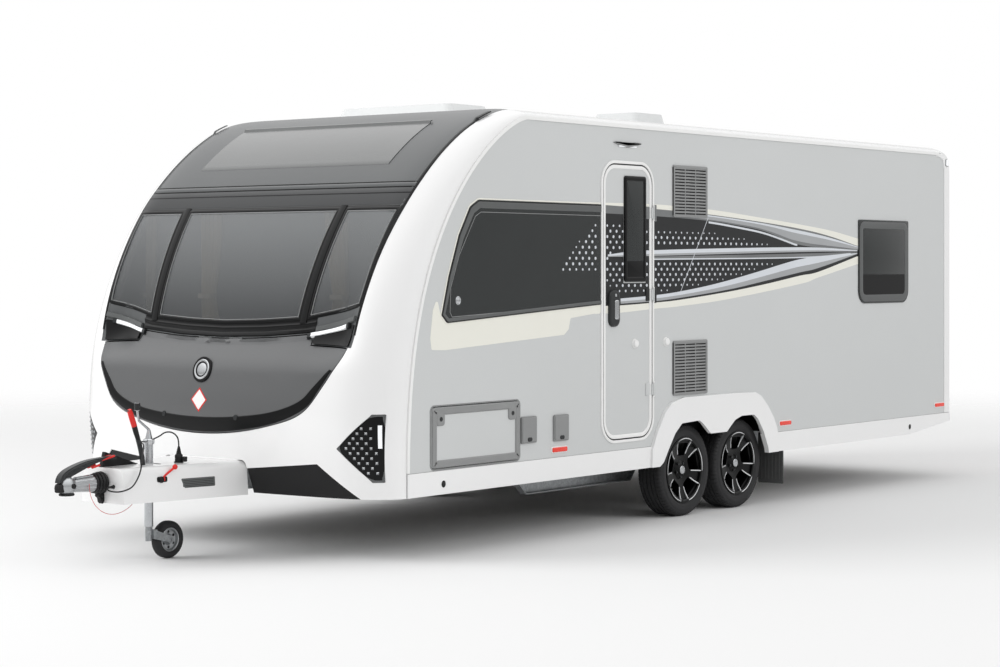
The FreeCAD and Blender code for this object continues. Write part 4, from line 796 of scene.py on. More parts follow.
def tyre_shape(centre, side):
    """A road tyre: four channels round it, swept notches across the shoulders, and fine ribs on
    the sidewall."""
    profile = tyre_profile() + [(-78, 198.5, "bead"), (78, 198.5, "bead")]
    pitches = 68
    shares = (0.0, 0.2, 0.25, 0.96)
    points, faces = [], []
    for pitch in range(pitches):
        for column, share in enumerate(shares):
            for x, radius, part in profile:
                sweep = 0.03 * abs(x) / 90
                if part == "shoulder" and column < 2:
                    radius -= 4.5
                if part == "rib" and column < 2 and pitch % 2 == 0 and abs(x) < 35:
                    radius -= 2.0
                if part == "serrated" and column in (1, 2):
                    x -= 0.9 if x > 0 else -0.9
                turn = 2 * pi * (pitch + share) / pitches + sweep
                points.append((centre[0] + side * x, centre[1] + radius * cos(turn),
                    centre[2] + radius * sin(turn)))
    width = len(profile)
    columns = pitches * len(shares)
    for column in range(columns):
        after = (column + 1) % columns
        for row in range(width):
            beyond = (row + 1) % width
            faces.append([column * width + row, after * width + row, after * width + beyond,
                column * width + beyond])
    return points, faces


def dish(radius):
    """How far out the wheel's face stands at a radius."""
    return between((0, 66), (26, 66), (34, 58), (60, 46), (110, 58), (190, 72), (196, 84), (201, 87.5),
        (213, 89.5))(radius)


def wheel_point(centre, side, radius, turn, height):
    """A place on the wheel's face. A turn of zero is straight up."""
    return (centre[0] + side * (dish(radius) + height), centre[1] + radius * sin(turn),
        centre[2] + radius * cos(turn))


def spoke_edge(centre, side, middle):
    """The bright cut edge of one wheel window: up one side, round the rim and down the other."""
    spread = radians(22.2)
    climb = between((112, 58), (150, 65.5), (196, 84), (213, 89.5))
    path = [(radius, -spread) for radius in steps_from(112, 199, 10)]
    path += [(202 - 3 * (turn / spread) ** 2, turn) for turn in steps_from(-spread * 0.94, spread * 0.94, 9)]
    path += [(radius, spread) for radius in steps_from(199, 112, 10)]
    flat = [Vector((radius * sin(turn + middle), radius * cos(turn + middle))) for radius, turn in path]
    widths = [6.5] * 10 + [5.5] * 9 + [6.5] * 10
    rows = []
    for share, height, rise in ((0, -1.0, 0), (0, 2.0, 1), (0.5, 2.8, 1), (1, 2.0, 1), (1, -1.0, 0)):
        row = []
        for index, here in enumerate(flat):
            run = (flat[min(index + 1, len(flat) - 1)] - flat[max(index - 1, 0)]).normalized()
            out = Vector((-run.y, run.x))
            spot = here + out * (widths[index] * share)
            stand = max(dish(spot.length), rise * climb(spot.length)) + height
            row.append((centre[0] + side * stand, centre[1] + spot.x, centre[2] + spot.y))
        rows.append(row)
    points = [point for row in rows for point in row]
    count = len(flat)
    faces = []
    for row in range(5):
        after = (row + 1) % 5
        for index in range(count - 1):
            faces.append([row * count + index, row * count + index + 1, after * count + index + 1,
                after * count + index])
    faces.append([row * count for row in range(5)])
    faces.append([row * count + count - 1 for row in range(5)])
    return points, faces


def road_wheels():
    """Tyres, the bright cut edges of the windows, caps, nuts and valves."""
    for place, axle in AXLES.items():
        for name, side in SIDES.items():
            label = place + "_" + name
            body = "road_wheel_" + label
            centre = (side * TRACK, axle, TYRE_TOP)
            tyre = piece("tyre_with_tread_" + label, TYRE_RUBBER, tyre_shape(centre, side), body=body,
                angle=40)
            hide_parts("tyre_" + label)
            edges = [spoke_edge(centre, side, 2 * pi * index / 5) for index in range(5)]
            piece("wheel_cut_edges_" + label, DIAMOND_CUT, *edges, body=body)
            hub = wheel_point(centre, side, 0, 0, 0)
            out = (side, 0, 0)
            cap = [(-1, 0), (-1, 27), (1.5, 27), (3.5, 25), (3.5, 22.5), (2.6, 21.5), (4.2, 15), (5.0, 6),
                (5.1, 0)]
            piece("wheel_cap_" + label, SATIN_STEEL, turned(cap, hub, out, 40), body=body, slot="alloy")
            nuts, wells = [], []
            for index in range(5):
                turn = 2 * pi * (index + 0.5) / 5
                spot = wheel_point(centre, side, 47, turn, 0)
                wells.append(turned([(-2, 12.5), (1.4, 12.5), (1.4, 10.5), (-2, 10.5)], spot, out, 20))
                nuts.append(turned([(-2, 0), (-2, 8.4), (5, 8.4), (6.6, 7), (6.6, 0)], spot, out, 6))
            piece("wheel_nuts_" + label, DARK_PLASTIC, *nuts, body=body, slot="alloy")
            piece("wheel_nut_wells_" + label, GLOSS_BLACK, *wells, body=body, slot="alloy")
            valve = wheel_point(centre, side, 180, pi / 5, 0)
            piece("tyre_valve_" + label, BLACK_RUBBER,
                turned([(-6, 0), (-6, 5), (2, 4), (3, 3), (16, 3), (18, 2), (18, 0)], valve,
                (side, -0.3 * sin(pi / 5), -0.3 * cos(pi / 5)), 12), body=body, slot="alloy")


road_wheels()


# Nose

PANE_TOP = 1945
CENTRE_LOW = between(*both_ways((0, 1292), (283, 1300), (566, 1318)))
LID_TOP = between(*both_ways((0, 1205), (330, 1213), (660, 1238), (1000, 1240)))
SIDE_EDGE = between((1400, 1000), (1500, 1008), (1945, 1030))
DARK_EDGE = between((1240, 1004), (1411, 1014), (1719, 1032), (1958, 1050), (2200, 1056), (2397, 1060),
    (2520, 1075))


def panes():
    """The three bowed panes, as smooth plates where the frame's own stand."""
    centre = []
    for step in range(24):
        share = step / 23
        row = []
        for x in steps_from(-566, 566, 41):
            low = CENTRE_LOW(x)
            row.append((x * (1 + 0.0565 * share), low + (PANE_TOP - low) * share))
        centre.append(row)
    shapes = [sheet_on_front(centre, 0, 7)]
    side = []
    for step in range(24):
        row = []
        for share in steps_from(0, 1, 17):
            low = 1323 + 77 * share
            z = low + (PANE_TOP - low) * step / 23
            left = 616 + 32 * (z - 1323) / 622
            row.append((left + (SIDE_EDGE(z) - left) * share, z))
        side.append(row)
    shapes += [sheet_on_front(side, 0, 7), sheet_on_front([mirrored(row) for row in side], 0, 7)]
    made = piece("windscreen_panes", SMOKED_GLAZING, *shapes)
    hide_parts("front_windows")


def pane_outlines():
    centre = [(x, CENTRE_LOW(x)) for x in steps_from(-566, 566, 23)]
    centre += [(566 + 32 * share, 1318 + 627 * share) for share in steps_from(0.05, 1, 14)]
    centre += [(x, PANE_TOP) for x in steps_from(560, -560, 15)]
    centre += [(-598 + 32 * share, 1945 - 627 * share) for share in steps_from(0, 0.95, 14)]
    side = [(616 + 384 * share, 1323 + 77 * share) for share in steps_from(0, 1, 10)]
    side += [(SIDE_EDGE(z), z) for z in steps_from(1440, 1945, 12)]
    side += [(x, PANE_TOP) for x in steps_from(980, 700, 6)]
    side += [(648 - 32 * share, 1945 - 622 * share) for share in steps_from(0, 0.95, 13)]
    return centre, side, mirrored(side)


def nose():
    """What lies over the nose's surface: borders, gutter, posts, seals, step, ridge and trims."""
    outlines = pane_outlines()
    borders = [moulding(outline, [(5, -3), (5, 2), (2, 4.5), (-9, 4.5), (-13, 2.5), (-13, -3)], on_front)
        for outline in outlines]
    piece("windscreen_borders", GLOSS_BLACK, *borders)
    beads = [moulding(outline, [(-17, -2), (-17, 3.2), (-20, 3.2), (-20, -2)], on_front)
        for outline in outlines]
    piece("windscreen_beads", GREY_PLASTIC, *beads)
    pane_low = between(*both_ways((0, 1292), (283, 1300), (566, 1318), (616, 1323), (1000, 1400),
        (1040, 1408)))
    # black gutter between the panes and the lid, in three ribs
    gutter = band_on_front(steps_from(-680, 680, 69), lambda x: LID_TOP(x) + 9, lambda x: pane_low(x) - 5,
        [(0, 1), (0.04, 7), (0.24, 9), (0.34, 5), (0.40, 2), (0.50, 2), (0.56, 6), (0.70, 8), (0.80, 3),
        (0.88, 2), (1, 4)])
    piece("windscreen_gutter", GLOSS_BLACK, gutter)
    # raised black posts over the joints between the panes
    posts = []
    for side in (1, -1):
        rows = [[(590 + (622 - 590) * share + a, 1296 + (1957 - 1296) * share, height)
            for a, height in ((-24, 1), (-22, 7), (-10, 9), (10, 9), (22, 7), (24, 1))]
            for share in steps_from(0, 1, 26)]
        posts.append(raised(rows, -2, flipped(on_front, side)))
    piece("windscreen_posts", GLOSS_BLACK, *posts)
    # a thin black seal over the panes' heads
    xs = steps_from(-1040, 1040, 79)
    head = band_on_front(xs, lambda x: 1943, lambda x: 1957, [(0, 1), (0.3, 3), (0.7, 3), (1, 1)])
    piece("windscreen_head_seal", GLOSS_BLACK, head)
    # the step above it, painted darker as painted shade of the relief, and the ridge between two dark lines
    # of painted shade
    step = band_on_front(xs, lambda x: 1959, lambda x: 2058,
        [(0, 0.5), (0.06, 3), (0.55, 3.5), (0.72, 6), (0.92, 6), (1, 1)])
    piece("nose_step", STEP_PAINTED_SHADE, step)
    ridge = band_on_front(xs, lambda x: 2064, lambda x: 2087,
        [(0, 1), (0.25, 5), (0.5, 6.5), (0.75, 5), (1, 1)])
    piece("nose_ridge", DARK_PAINT, ridge)
    # three black lines of painted shade where the relief's grooves lie in shadow
    lines = [band_on_front(xs, lambda x, low=low: low, lambda x, high=high: high,
        [(0, 0.4), (0.3, height), (0.7, height), (1, 0.4)]) for low, high, height in ((2021, 2029, 7),
        (2057, 2065, 4), (2086, 2094, 3))]
    piece("nose_ridge_lines", GLOSS_BLACK, *lines)
    # the panoramic light over the seats, flush in the dark panel
    light = band_on_front(steps_from(-750, 750, 41), lambda x: 2196, lambda x: 2470,
        [(0, 0.4)] + [(share, 3.5) for share in steps_from(0.02, 0.98, 15)] + [(1, 0.4)], -4)
    piece("panorama_light", ROOF_GLAZING, light)
    # black and grey cover strips along the dark panel's sides
    for label, material, near_edge, far_edge, height in (("nose_side_trims", GLOSS_BLACK, -1, -17, 4),
            ("nose_side_beads", FRAME_GREY, -17, -28, 2.5)):
        across = [(near_edge, 0.5), (near_edge * 0.8 + far_edge * 0.2, height),
            (near_edge * 0.2 + far_edge * 0.8, height), (far_edge, 0.5)]
        rows = [[(DARK_EDGE(z) + a, z, h) for a, h in across] for z in steps_from(1240, 2512, 61)]
        piece(label, material, *[raised(rows, -2, flipped(on_front, side)) for side in (1, -1)])


panes()
nose()


def lid_details():
    """The black foot of the locker lid, its brow, two locks, a plain badge and a plain diamond."""
    outer = both_ways((0, 686), (290, 704), (559, 756), (757, 841), (843, 946), (911, 1050))
    inner = both_ways((0, 772), (262, 782), (525, 815), (712, 877), (806, 962), (897, 1056))
    out_line, in_line = smooth_line(outer, 6), smooth_line(inner, 6)
    rows = [[(a[0] + (b[0] - a[0]) * share, a[1] + (b[1] - a[1]) * share, height) for a, b in zip(out_line,
        in_line)] for share, height in ((0.01, 0.8), (0.06, 4), (0.3, 5), (0.6, 5), (0.94, 4), (0.99, 0.8))]
    piece("lid_black_foot", GLOSS_BLACK, raised(rows, -2, on_front), body="lid")
    brow = band_on_front(steps_from(-640, 640, 65), lambda x: LID_TOP(x) - 34, lambda x: LID_TOP(x) - 4,
        [(0, 0.2), (0.2, 1.5), (0.5, 3.5), (0.8, 5), (1, 5)])
    piece("lid_brow", LID_PAINT, brow, body="lid")
    locks = []
    for x in (-283, 283):
        centre = on_front(x, 777, 2.5)
        locks.append(turned([(-2, 0), (-2, 15), (3, 15), (5, 13), (5, 9), (3.4, 8), (3.4, 0)], centre,
            (0, -1, 0.08), 28))
    piece("lid_locks", DARK_PLASTIC, *locks, body="lid")
    # a plain badge: a bright ring and a satin boss on a dark dish
    spot = on_front(0, 1035, 0)
    out = (Vector(on_front(0, 1035, 10)) - Vector(spot)).normalized()
    piece("lid_badge_dish", GLOSS_BLACK,
        turned([(-4, 0), (-4, 74), (2, 74), (4.5, 71), (5, 60), (4, 20), (4, 0)], spot, out, 56), body="lid")
    piece("lid_badge_ring", SATIN_STEEL,
        turned([(2, 58), (6, 58), (8.5, 55), (8.8, 50), (7, 46), (4, 45.5), (2, 45.5)], spot, out, 56),
        body="lid")
    piece("lid_badge_boss", SATIN_STEEL, turned([(3, 0), (3, 37), (5, 36), (7.4, 30), (9.4, 18), (10, 0)],
        spot, out, 48), body="lid")
    # a blank diamond sign that follows the lid
    for label, material, half, ahead, slot in (("border", RED_PLASTIC, 68, 1.2, "red_plastic"),
            ("field", WHITE_FILM, 57, 1.8, "moulding_white")):
        rows = [[((a + b - 1) * half * 0.92, 866 + (b - a) * half) for a in steps_from(0, 1, 9)]
            for b in steps_from(0, 1, 9)]
        piece("lid_diamond_" + label, material, sheet_on_front(rows, ahead, 2.5), body="lid", slot=slot)


lid_details()


def nose_lamps():
    """The slanted marker lamps with their hoods, and the corner lamps with their studded wells."""
    bars, hoods, caps = [], [], []
    for side in (1, -1):
        for shapes, start, end, low, high, base, height in ((bars, 668, 919, -13, 13, 14, 23),
                (hoods, 690, 985, 13, 44, 10, 19), (caps, 646, 670, -17, 17, 4, 20),
                (caps, 917, 942, -15, 17, 12, 20)):
            rows = [[(x, 1230 + (x - 660) * 0.2162 + low + (high - low) * share,
                base + (height - base) * lift) for x in steps_from(start, end, 12)]
                for share, lift in ((0, 0), (0.12, 0.85), (0.5, 1), (0.88, 0.85), (1, 0))]
            shapes.append(raised(rows, 1, flipped(on_front, side)))
    piece("marker_lamp_bars", WHITE_LENS, *bars)
    piece("marker_lamp_hoods", FRAME_GREY, *hoods)
    piece("marker_lamp_caps", DARK_PLASTIC, *caps)
    rims, studs, lights = [], [], []
    well = rounded([(948, 629), (1109, 447), (1157, 447), (1166, 815), (1118, 815)], 6, 3)
    for side in (1, -1):
        place = flipped(on_front_well, side)
        rims.append(moulding(well, [(1.5, -2), (1.5, 2.5), (-1, 4), (-12, 1), (-15, -4), (-15, -8)], place))
        for row in range(13):
            z = 794 - row * 27
            shift = 0 if row % 2 else 19
            for column in range(8):
                x = 1130 - shift - column * 38
                if inside(x, z, grown(well, -17)) and not (x > 1122 and 612 < z < 776):
                    spot = place(x, z, -4)
                    out = (Vector(place(x, z, 10)) - Vector(place(x, z, 0))).normalized()
                    turn = out.to_track_quat("Z", "Y").to_euler()
                    studs.append((spot, tuple(turn), 10.0))
        rows = [[(x, z, 3) for z in steps_from(632, 757, 9)] for x in steps_from(1137, 1151, 3)]
        lights.append(raised(rows, -8, place))
    piece("corner_lamp_rims", FRAME_GREY, *rims)
    piece("corner_lamp_lights", WHITE_LENS, *lights)
    repeat("corner_lamp_studs", studs, STUD, SILVER_CAST)


def inside(a, b, outline):
    """Whether a point lies within an outline."""
    within = False
    for (a0, b0), (a1, b1) in zip(outline, outline[1:] + outline[:1]):
        if (b0 > b) != (b1 > b) and a < a0 + (a1 - a0) * (b - b0) / (b1 - b0):
            within = not within
    return within


WELL_SKIN = skin_of("front_lamps", "front_moulding")


def on_front_well(x, z, height):
    """A place over a corner lamp, whose plate lies 4 mm behind the nose's surface."""
    def depth(a, b):
        hit = WELL_SKIN.ray_cast(Vector((a, -4500, b)) * MM, Vector((0, 1, 0)))[0]
        return hit.y / MM if hit else -2700.0
    slope_x = max(-3, min(3, (depth(x + 4, z) - depth(x - 4, z)) / 8))
    slope_z = max(-1, min(1, (depth(x, z + 4) - depth(x, z - 4)) / 8))
    out = Vector((slope_x, -1, slope_z)).normalized()
    return tuple(Vector((x, depth(x, z), z)) + out * height)


nose_lamps()


# Side band: generic curves in the same colours, on both sides

BAND_TOP = [(-790, 1992), (-149, 1977), (495, 1954), (1220, 1911), (1756, 1869), (2117, 1826), (2500, 1763)]
BAND_LOW = [(-790, 1374), (-516, 1375), (-149, 1387), (145, 1401), (730, 1447), (1220, 1496), (1680, 1551),
    (1935, 1577), (2500, 1688)]
CREAM_TOP = [(-790, 2003), (-149, 2006), (495, 1987), (1054, 1951), (1680, 1906), (2117, 1868), (2500, 1818)]
CREAM_LOW = [(-790, 1327), (-516, 1330), (-149, 1348), (145, 1360), (730, 1398), (1680, 1493), (1935, 1537),
    (2500, 1631)]
FIELD_TOP = [(-149, 1914), (190, 1903), (495, 1896), (891, 1864), (1220, 1829), (1625, 1757)]
STREAK_TOP = [(-653, 1688), (-149, 1717), (1680, 1748), (2500, 1733)]
STREAK_LOW = [(-653, 1674), (-149, 1681), (1680, 1715), (2500, 1724)]
THIN_TOP = [(-149, 1677), (1680, 1704), (2500, 1721)]
THIN_LOW = [(-149, 1664), (1680, 1681), (2500, 1716)]
BEAM_TOP = [(-516, 1417), (-149, 1433), (145, 1454), (572, 1500), (1054, 1570), (1475, 1637), (1680, 1665),
    (1935, 1686), (2500, 1712)]
BEAM_LOW = [(-516, 1385), (-149, 1396), (145, 1413), (730, 1461), (1220, 1518), (1680, 1574), (1935, 1604),
    (2500, 1705)]
EDGE_TOP = [(-790, 1940), (-149, 1932), (495, 1912), (891, 1884), (1220, 1850), (1700, 1762), (2500, 1733)]


def level_at(line, y):
    """The height of a line of points at a place along the wall."""
    for (y0, z0), (y1, z1) in zip(line, line[1:]):
        if y0 <= y <= y1:
            return z0 + (z1 - z0) * (y - y0) / (y1 - y0)
    return line[0][1] if y < line[0][0] else line[-1][1]


def strip(low, high, start, end, cap):
    """The outline between two lines from start to end, cut off above a cap."""
    low_line, high_line = smooth_line(low, 8), smooth_line(high, 8)
    ys = steps_from(start, end, max(2, int((end - start) / 25) + 2))
    foot = [(y, level_at(low_line, y)) for y in ys]
    head = [(y, min(cap, level_at(high_line, y))) for y in reversed(ys)]
    if min(b - a for (_, a), (_, b) in zip(foot, reversed(head))) < 0.5:
        return []
    return [foot + head]


# where the band is parted: wall before the door, the door round its window, the wall behind it
PARTS = {"near": [("caravan", -790, -736, 3000), ("door", -680, -484, 3000), ("door", -484, -240, 1512),
    ("door", -240, -200, 3000), ("caravan", -144, 2519, 3000)],
    "off": [("caravan", -790, -166, 3000), ("caravan", 866, 2519, 3000)],}
CREAM_FIELD = [(-723, 1382), (-1046, 1364), (-2215, 1297), (-2268, 1338), (-2300, 1440), (-2337, 1372),
    (-2359, 1218), (-2348, 1154), (-2226, 1150), (-1106, 1208), (-1060, 1240), (-1041, 1306), (-723, 1335)]


def middle_of(low, high, share):
    """The line a share of the way between two lines of points."""
    low_line, high_line = smooth_line(low, 6), smooth_line(high, 6)
    return [(y, level_at(low_line, y) + (level_at(high_line, y) - level_at(low_line, y)) * share)
        for y in steps_from(low[0][0], low[-1][0], 15)]


def side_band():
    """The printed band, film over film, parted where the door and its frame are."""
    beam_mid = middle_of(BEAM_LOW, BEAM_TOP, 0.45)
    streak_mid = middle_of(STREAK_LOW, STREAK_TOP, 0.35)
    under = [(y, z - 8) for y, z in THIN_LOW]
    layers = (("cream", CREAM_FILM, CREAM_LOW, CREAM_TOP, 0.5, -790, 2519, "moulding_white"),
        ("graphite", GRAPHITE_FILM, BAND_LOW, BAND_TOP, 0.9, -790, 2519, "dark_gloss"),
        ("crest", SHADED_FILM, EDGE_TOP, BAND_TOP, 1.2, -790, 2519, "grey_plastic"),
        ("crest_mid", GREY_FILM, middle_of(EDGE_TOP, BAND_TOP, 0.2), middle_of(EDGE_TOP, BAND_TOP, 0.75), 1.4,
        180, 2519, "grey_plastic"), ("crest_head", SILVER_FILM, middle_of(EDGE_TOP, BAND_TOP, 0.68),
        middle_of(EDGE_TOP, BAND_TOP, 0.88), 1.6, 480, 2519, "silver_cast"),
        ("crest_light", SILVER_FILM, FIELD_TOP, [(y, z + 13) for y, z in FIELD_TOP], 1.5, 495, 1640,
        "silver_cast"), ("rear_silver", GREY_FILM, STREAK_TOP, EDGE_TOP, 1.2, 1630, 2500, "grey_plastic"),
        ("streak", SILVER_FILM, streak_mid, STREAK_TOP, 1.7, -653, 2500, "silver_cast"),
        ("streak_shade", GREY_FILM, STREAK_LOW, streak_mid, 1.5, -653, 2500, "grey_plastic"),
        ("thin_streak", SHADED_FILM, THIN_LOW, THIN_TOP, 1.3, -149, 2500, "grey_plastic"),
        ("thin_light", SILVER_FILM, under, THIN_LOW, 1.4, -149, 2400, "silver_cast"),
        ("beam", SILVER_FILM, beam_mid, BEAM_TOP, 1.7, -516, 2500, "silver_cast"),
        ("beam_shade", GREY_FILM, BEAM_LOW, beam_mid, 1.5, -516, 2500, "grey_plastic"),)
    for name, side in SIDES.items():
        place = on_wall(side)
        for label, material, low, high, height, start, end, slot in layers:
            by_body = {}
            for body, part_start, part_end, cap in PARTS[name]:
                one, two = max(start, part_start), min(end, part_end)
                if two - one > 1:
                    by_body.setdefault(body, []).extend(film(outline, place, height) for outline in strip(low,
                        high, one, two, cap))
            for body, shapes in by_body.items():
                if shapes:
                    piece("band_%s_%s_%s" % (label, name, body), material, *shapes, body=body, slot=slot)
        piece("band_cream_field_" + name, CREAM_FILM, film(rounded(CREAM_FIELD, 12, 3), place, 0.6))
        line = [(487, 1932), (492, 1932), (153, 1438), (148, 1438)]
        piece("band_slant_line_" + name, SILVER_FILM, film(line, place, 1.9))
        dots(name, side)


def dots(name, side):
    """Small light dots in a staggered grid, fading out towards the ends and edges of the field."""
    low_line, high_line = smooth_line(BEAM_TOP, 8), smooth_line(FIELD_TOP, 8)
    spots = {}
    turn = (0, side * pi / 2, 0)
    for row in range(17):
        z = 1430 + row * 33.4
        for column in range(60):
            y = -1160 + column * 66.5 + (33.2 if row % 2 else 0)
            low = level_at(low_line, y) + 16
            high = level_at(high_line, y) - 60
            if y < -516:
                low = 1572 if y < -700 else 1440 + (-516 - y) * 0.5
                high = min(1572 + (y + 1230) * 0.72, 1890)
            middle = level_at(STREAK_LOW, y)
            clear = level_at(THIN_LOW, y) - 24 < z < level_at(STREAK_TOP, y) + 15
            if not low < z < high or clear and y > -620:
                continue
            edge = min(z - low, high - z, (1640 - y) * 0.25 if z > middle else (1800 - y) * 0.2)
            size = max(0.0, min(1.0, 0.5 + edge / 80)) * 9.5
            if size < 4.5:
                continue
            height = 1.4
            body = "caravan"
            if name == "near":
                if -736 < y < -680 or -200 < y < -144:
                    continue
                if -680 <= y <= -200:
                    body = "door"
                    if -488 < y < -236 and z > 1500:
                        continue
            elif -166 < y < 866:
                continue
            if y < -790:
                height = 7.6
            elif y > 2500:
                continue
            spots.setdefault(body, []).append(((side * (WALL + height), y, z), turn, size))
    for body, places in spots.items():
        repeat("band_dots_%s_%s" % (name, body), places, DOT, SILVER_FILM, body)


side_band()


LOUNGE_INNER = [(-738, 1393), (-2175, 1335), (-2193, 1360), (-2186, 1497), (-2112, 1675), (-1966, 1896),
    (-1916, 1921), (-738, 1921)]


def lounge_outline(end):
    """The lounge window, from the top of its rear end round to the bottom of it."""
    radius = 0 if end > -750 else 45
    points = [(end, 1990), (-1934, 1990), (-2010, 1950), (-2110, 1790), (-2200, 1560), (-2262, 1345),
        (-2215, 1302), (-1046, 1368), (end, 1385)]
    return rounded(points, (radius, 45, 60, 40, 0, 0, 30, 0, radius))


REAR_SURROUND = rounded([(2512, 1346), (3284, 1346), (3284, 1954), (2512, 1954)], [95, 95, 14, 14], 8)
KITCHEN_WINDOW = rectangle(-160, 1420, 860, 1945, 55, 8)


def windows():
    """Seals, raised frames and inner lines of the side windows. On the door side the lounge window
    runs on to the door's frame as a blind plate."""
    for name, side in SIDES.items():
        place = on_wall(side, PANE)
        closed = [] if side > 0 else [lounge_outline(-790), KITCHEN_WINDOW]
        border = [(12, -7), (12, -4.4), (3, -4), (2, -7)]
        seal = [(2.5, -7), (2.5, -3), (0, 1), (-6, 1.4), (-8, -1)]
        frame = [(-7, -1), (-7, 1.6), (-10, 2.8), (-26, 2.8), (-29, 0.5), (-29, -1)]
        groove = [(-28, -1), (-28, 1.2), (-34, 1.2), (-34, -1)]
        bead = [(-37, -1), (-37, 0.9), (-40, 0.9), (-40, -1)]
        over = [plate(REAR_SURROUND, [(0, -7), (0, 0), (-3, 1.2)], place)]
        piece("rear_window_cover_" + name, DARK_GLAZING, *over)
        inner = rounded([(2574, 1408), (3222, 1408), (3222, 1892), (2574, 1892)], [38, 38, 18, 18], 6)
        ring = moulding(inner, [(49, 0), (49, 1.6), (46, 2.6), (5, 2.6), (0, 1.4), (0, 0)], place)
        piece("rear_window_frame_" + name, FRAME_GREY, ring)
        foot = rounded([(2576, 1410), (3220, 1410), (3220, 1556), (2576, 1556)], [35, 35, 2, 2], 5)
        piece("rear_window_low_tint_" + name, GLOSS_BLACK, plate(foot, [(0, 0), (0, 1.9)], place),
            slot="tinted_glass")
        made = {}
        for label, profile in (("borders", border), ("seals", seal), ("frames", frame), ("grooves", groove),
                ("beads", bead)):
            made[label] = [moulding(outline, profile, place) for outline in closed]
        if side > 0:
            outline = lounge_outline(-732)
            made["borders"].append(edging(outline, [(12, -4.5), (11, -4), (4, -4), (3, -4.5)], place, -7))
            made["seals"].append(edging(outline, [(2.5, -3), (0, 1), (-6, 1.4), (-8, 0)], place, -7))
            made["frames"].append(frame_between(outline, place))
            made["beads"].append(edging(LOUNGE_INNER, [(0, 0.6), (0.5, 1), (3, 1), (3.5, 0.6)], place))
            blind = plate([(-798, 1387), (-736, 1391), (-736, 1985), (-798, 1985)], [(0, -8), (0, 0.2)],
                place)
            piece("lounge_blind_plate", DARK_GLAZING, blind)
        piece("window_borders_" + name, CREAM_FILM, *made["borders"])
        piece("window_seals_" + name, BLACK_RUBBER, *made["seals"])
        piece("window_frames_" + name, FRAME_GREY, *made["frames"])
        if made["grooves"]:
            piece("window_grooves_" + name, GLOSS_BLACK, *made["grooves"])
        piece("window_beads_" + name, GREY_PLASTIC, *made["beads"])
        knobs = [turned([(-1, 0), (-1, 24), (3, 24), (5, 21), (5, 18), (3, 16), (6, 8), (7, 0)],
            (side * PANE, -2124, 1424), (side, 0, 0), 32)]
        piece("window_catch_" + name, SATIN_STEEL, *knobs)


def frame_between(outline, place):
    """The lounge window's grey surround, wide at its head and narrow at its foot."""
    widths = [50 if b > 1900 else 26 + 24 * max(0, (b - 1400) / 500) for _, b in outline]
    return raised([[(a, b, height) for a, b in level_ended(outline, [-width * share for width in widths])]
        for share, height in ((0.15, 0.6), (0.2, 2.2), (0.8, 2.2), (0.9, 0.6))], -1, place)


windows()


def door_trim():
    """The door's frame, seals, window and lock, and the two knobs that hold it open."""
    place = on_wall(1)
    leaf = rectangle(-703, 555, -177, 2240, 120, 12)
    piece("door_frame", RAIL_WHITE, moulding(leaf, [(8, -1), (8, 6), (11, 9), (22, 9), (26, 6), (26, -1)],
        place))
    piece("door_seal", BLACK_RUBBER, moulding(leaf, [(0.6, -8), (0.6, 1), (3, 3), (6, 3), (8, 1), (8, -8)],
        place))
    piece("door_edge_trim", RAIL_WHITE,
        moulding(leaf, [(-0.5, -1), (-0.5, 5), (-3, 7), (-18, 7), (-24, 3), (-24, -1)], place), body="door")
    pane = rectangle(-478, 1522, -246, 2172, 14, 4)
    over = on_wall(1, WALL + 6)
    piece("door_window_frame", GLOSS_BLACK,
        moulding(pane, [(3, -6), (3, 2), (-2, 5), (-20, 5), (-28, 1), (-28, -1)], over), body="door")
    piece("door_window_foot", GLOSS_BLACK,
        plate(rectangle(-452, 1546, -272, 1650, 6), [(0, -1), (0, 1.2), (-2, 1.6)], over), body="door")
    piece("door_window_pane", DARK_GLAZING,
        plate(rectangle(-455, 1640, -269, 2150, 6), [(0, -1), (0, 1.0), (-2, 1.4)], over), body="door")
    grip = rectangle(-650, 1245, -540, 1469, 44, 10)
    escutcheon = piece("door_escutcheon", DARK_PLASTIC,
        plate(grip, [(0, 0), (0, 9), (-3, 15), (-9, 18), (-14, 18)], place), body="door")
    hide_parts("door_handle")
    piece("door_lever", SATIN_STEEL,
        plate(rectangle(-600, 1290, -556, 1408, 12), [(0, 15), (0, 18.5), (-3, 20.8), (-6, 21.3)], place),
        body="door")
    piece("door_key_barrel", SATIN_STEEL, turned([(0, 0), (0, 9), (3, 9), (4.5, 7), (3, 5), (3, 0)],
        (WALL + 16.5, -590, 1438), (1, 0, 0), 24), body="door")
    knob = [(-1, 0), (-1, 29), (4, 29), (7, 25), (9, 25), (17, 23), (21, 18), (21, 0)]
    piece("door_retainer_knob", RAIL_WHITE, turned(knob, (WALL, -362, 1136), (1, 0, 0), 28), body="door")
    piece("wall_retainer_knob", RAIL_WHITE, turned(knob, (WALL, -12, 1138), (1, 0, 0), 28))


door_trim()


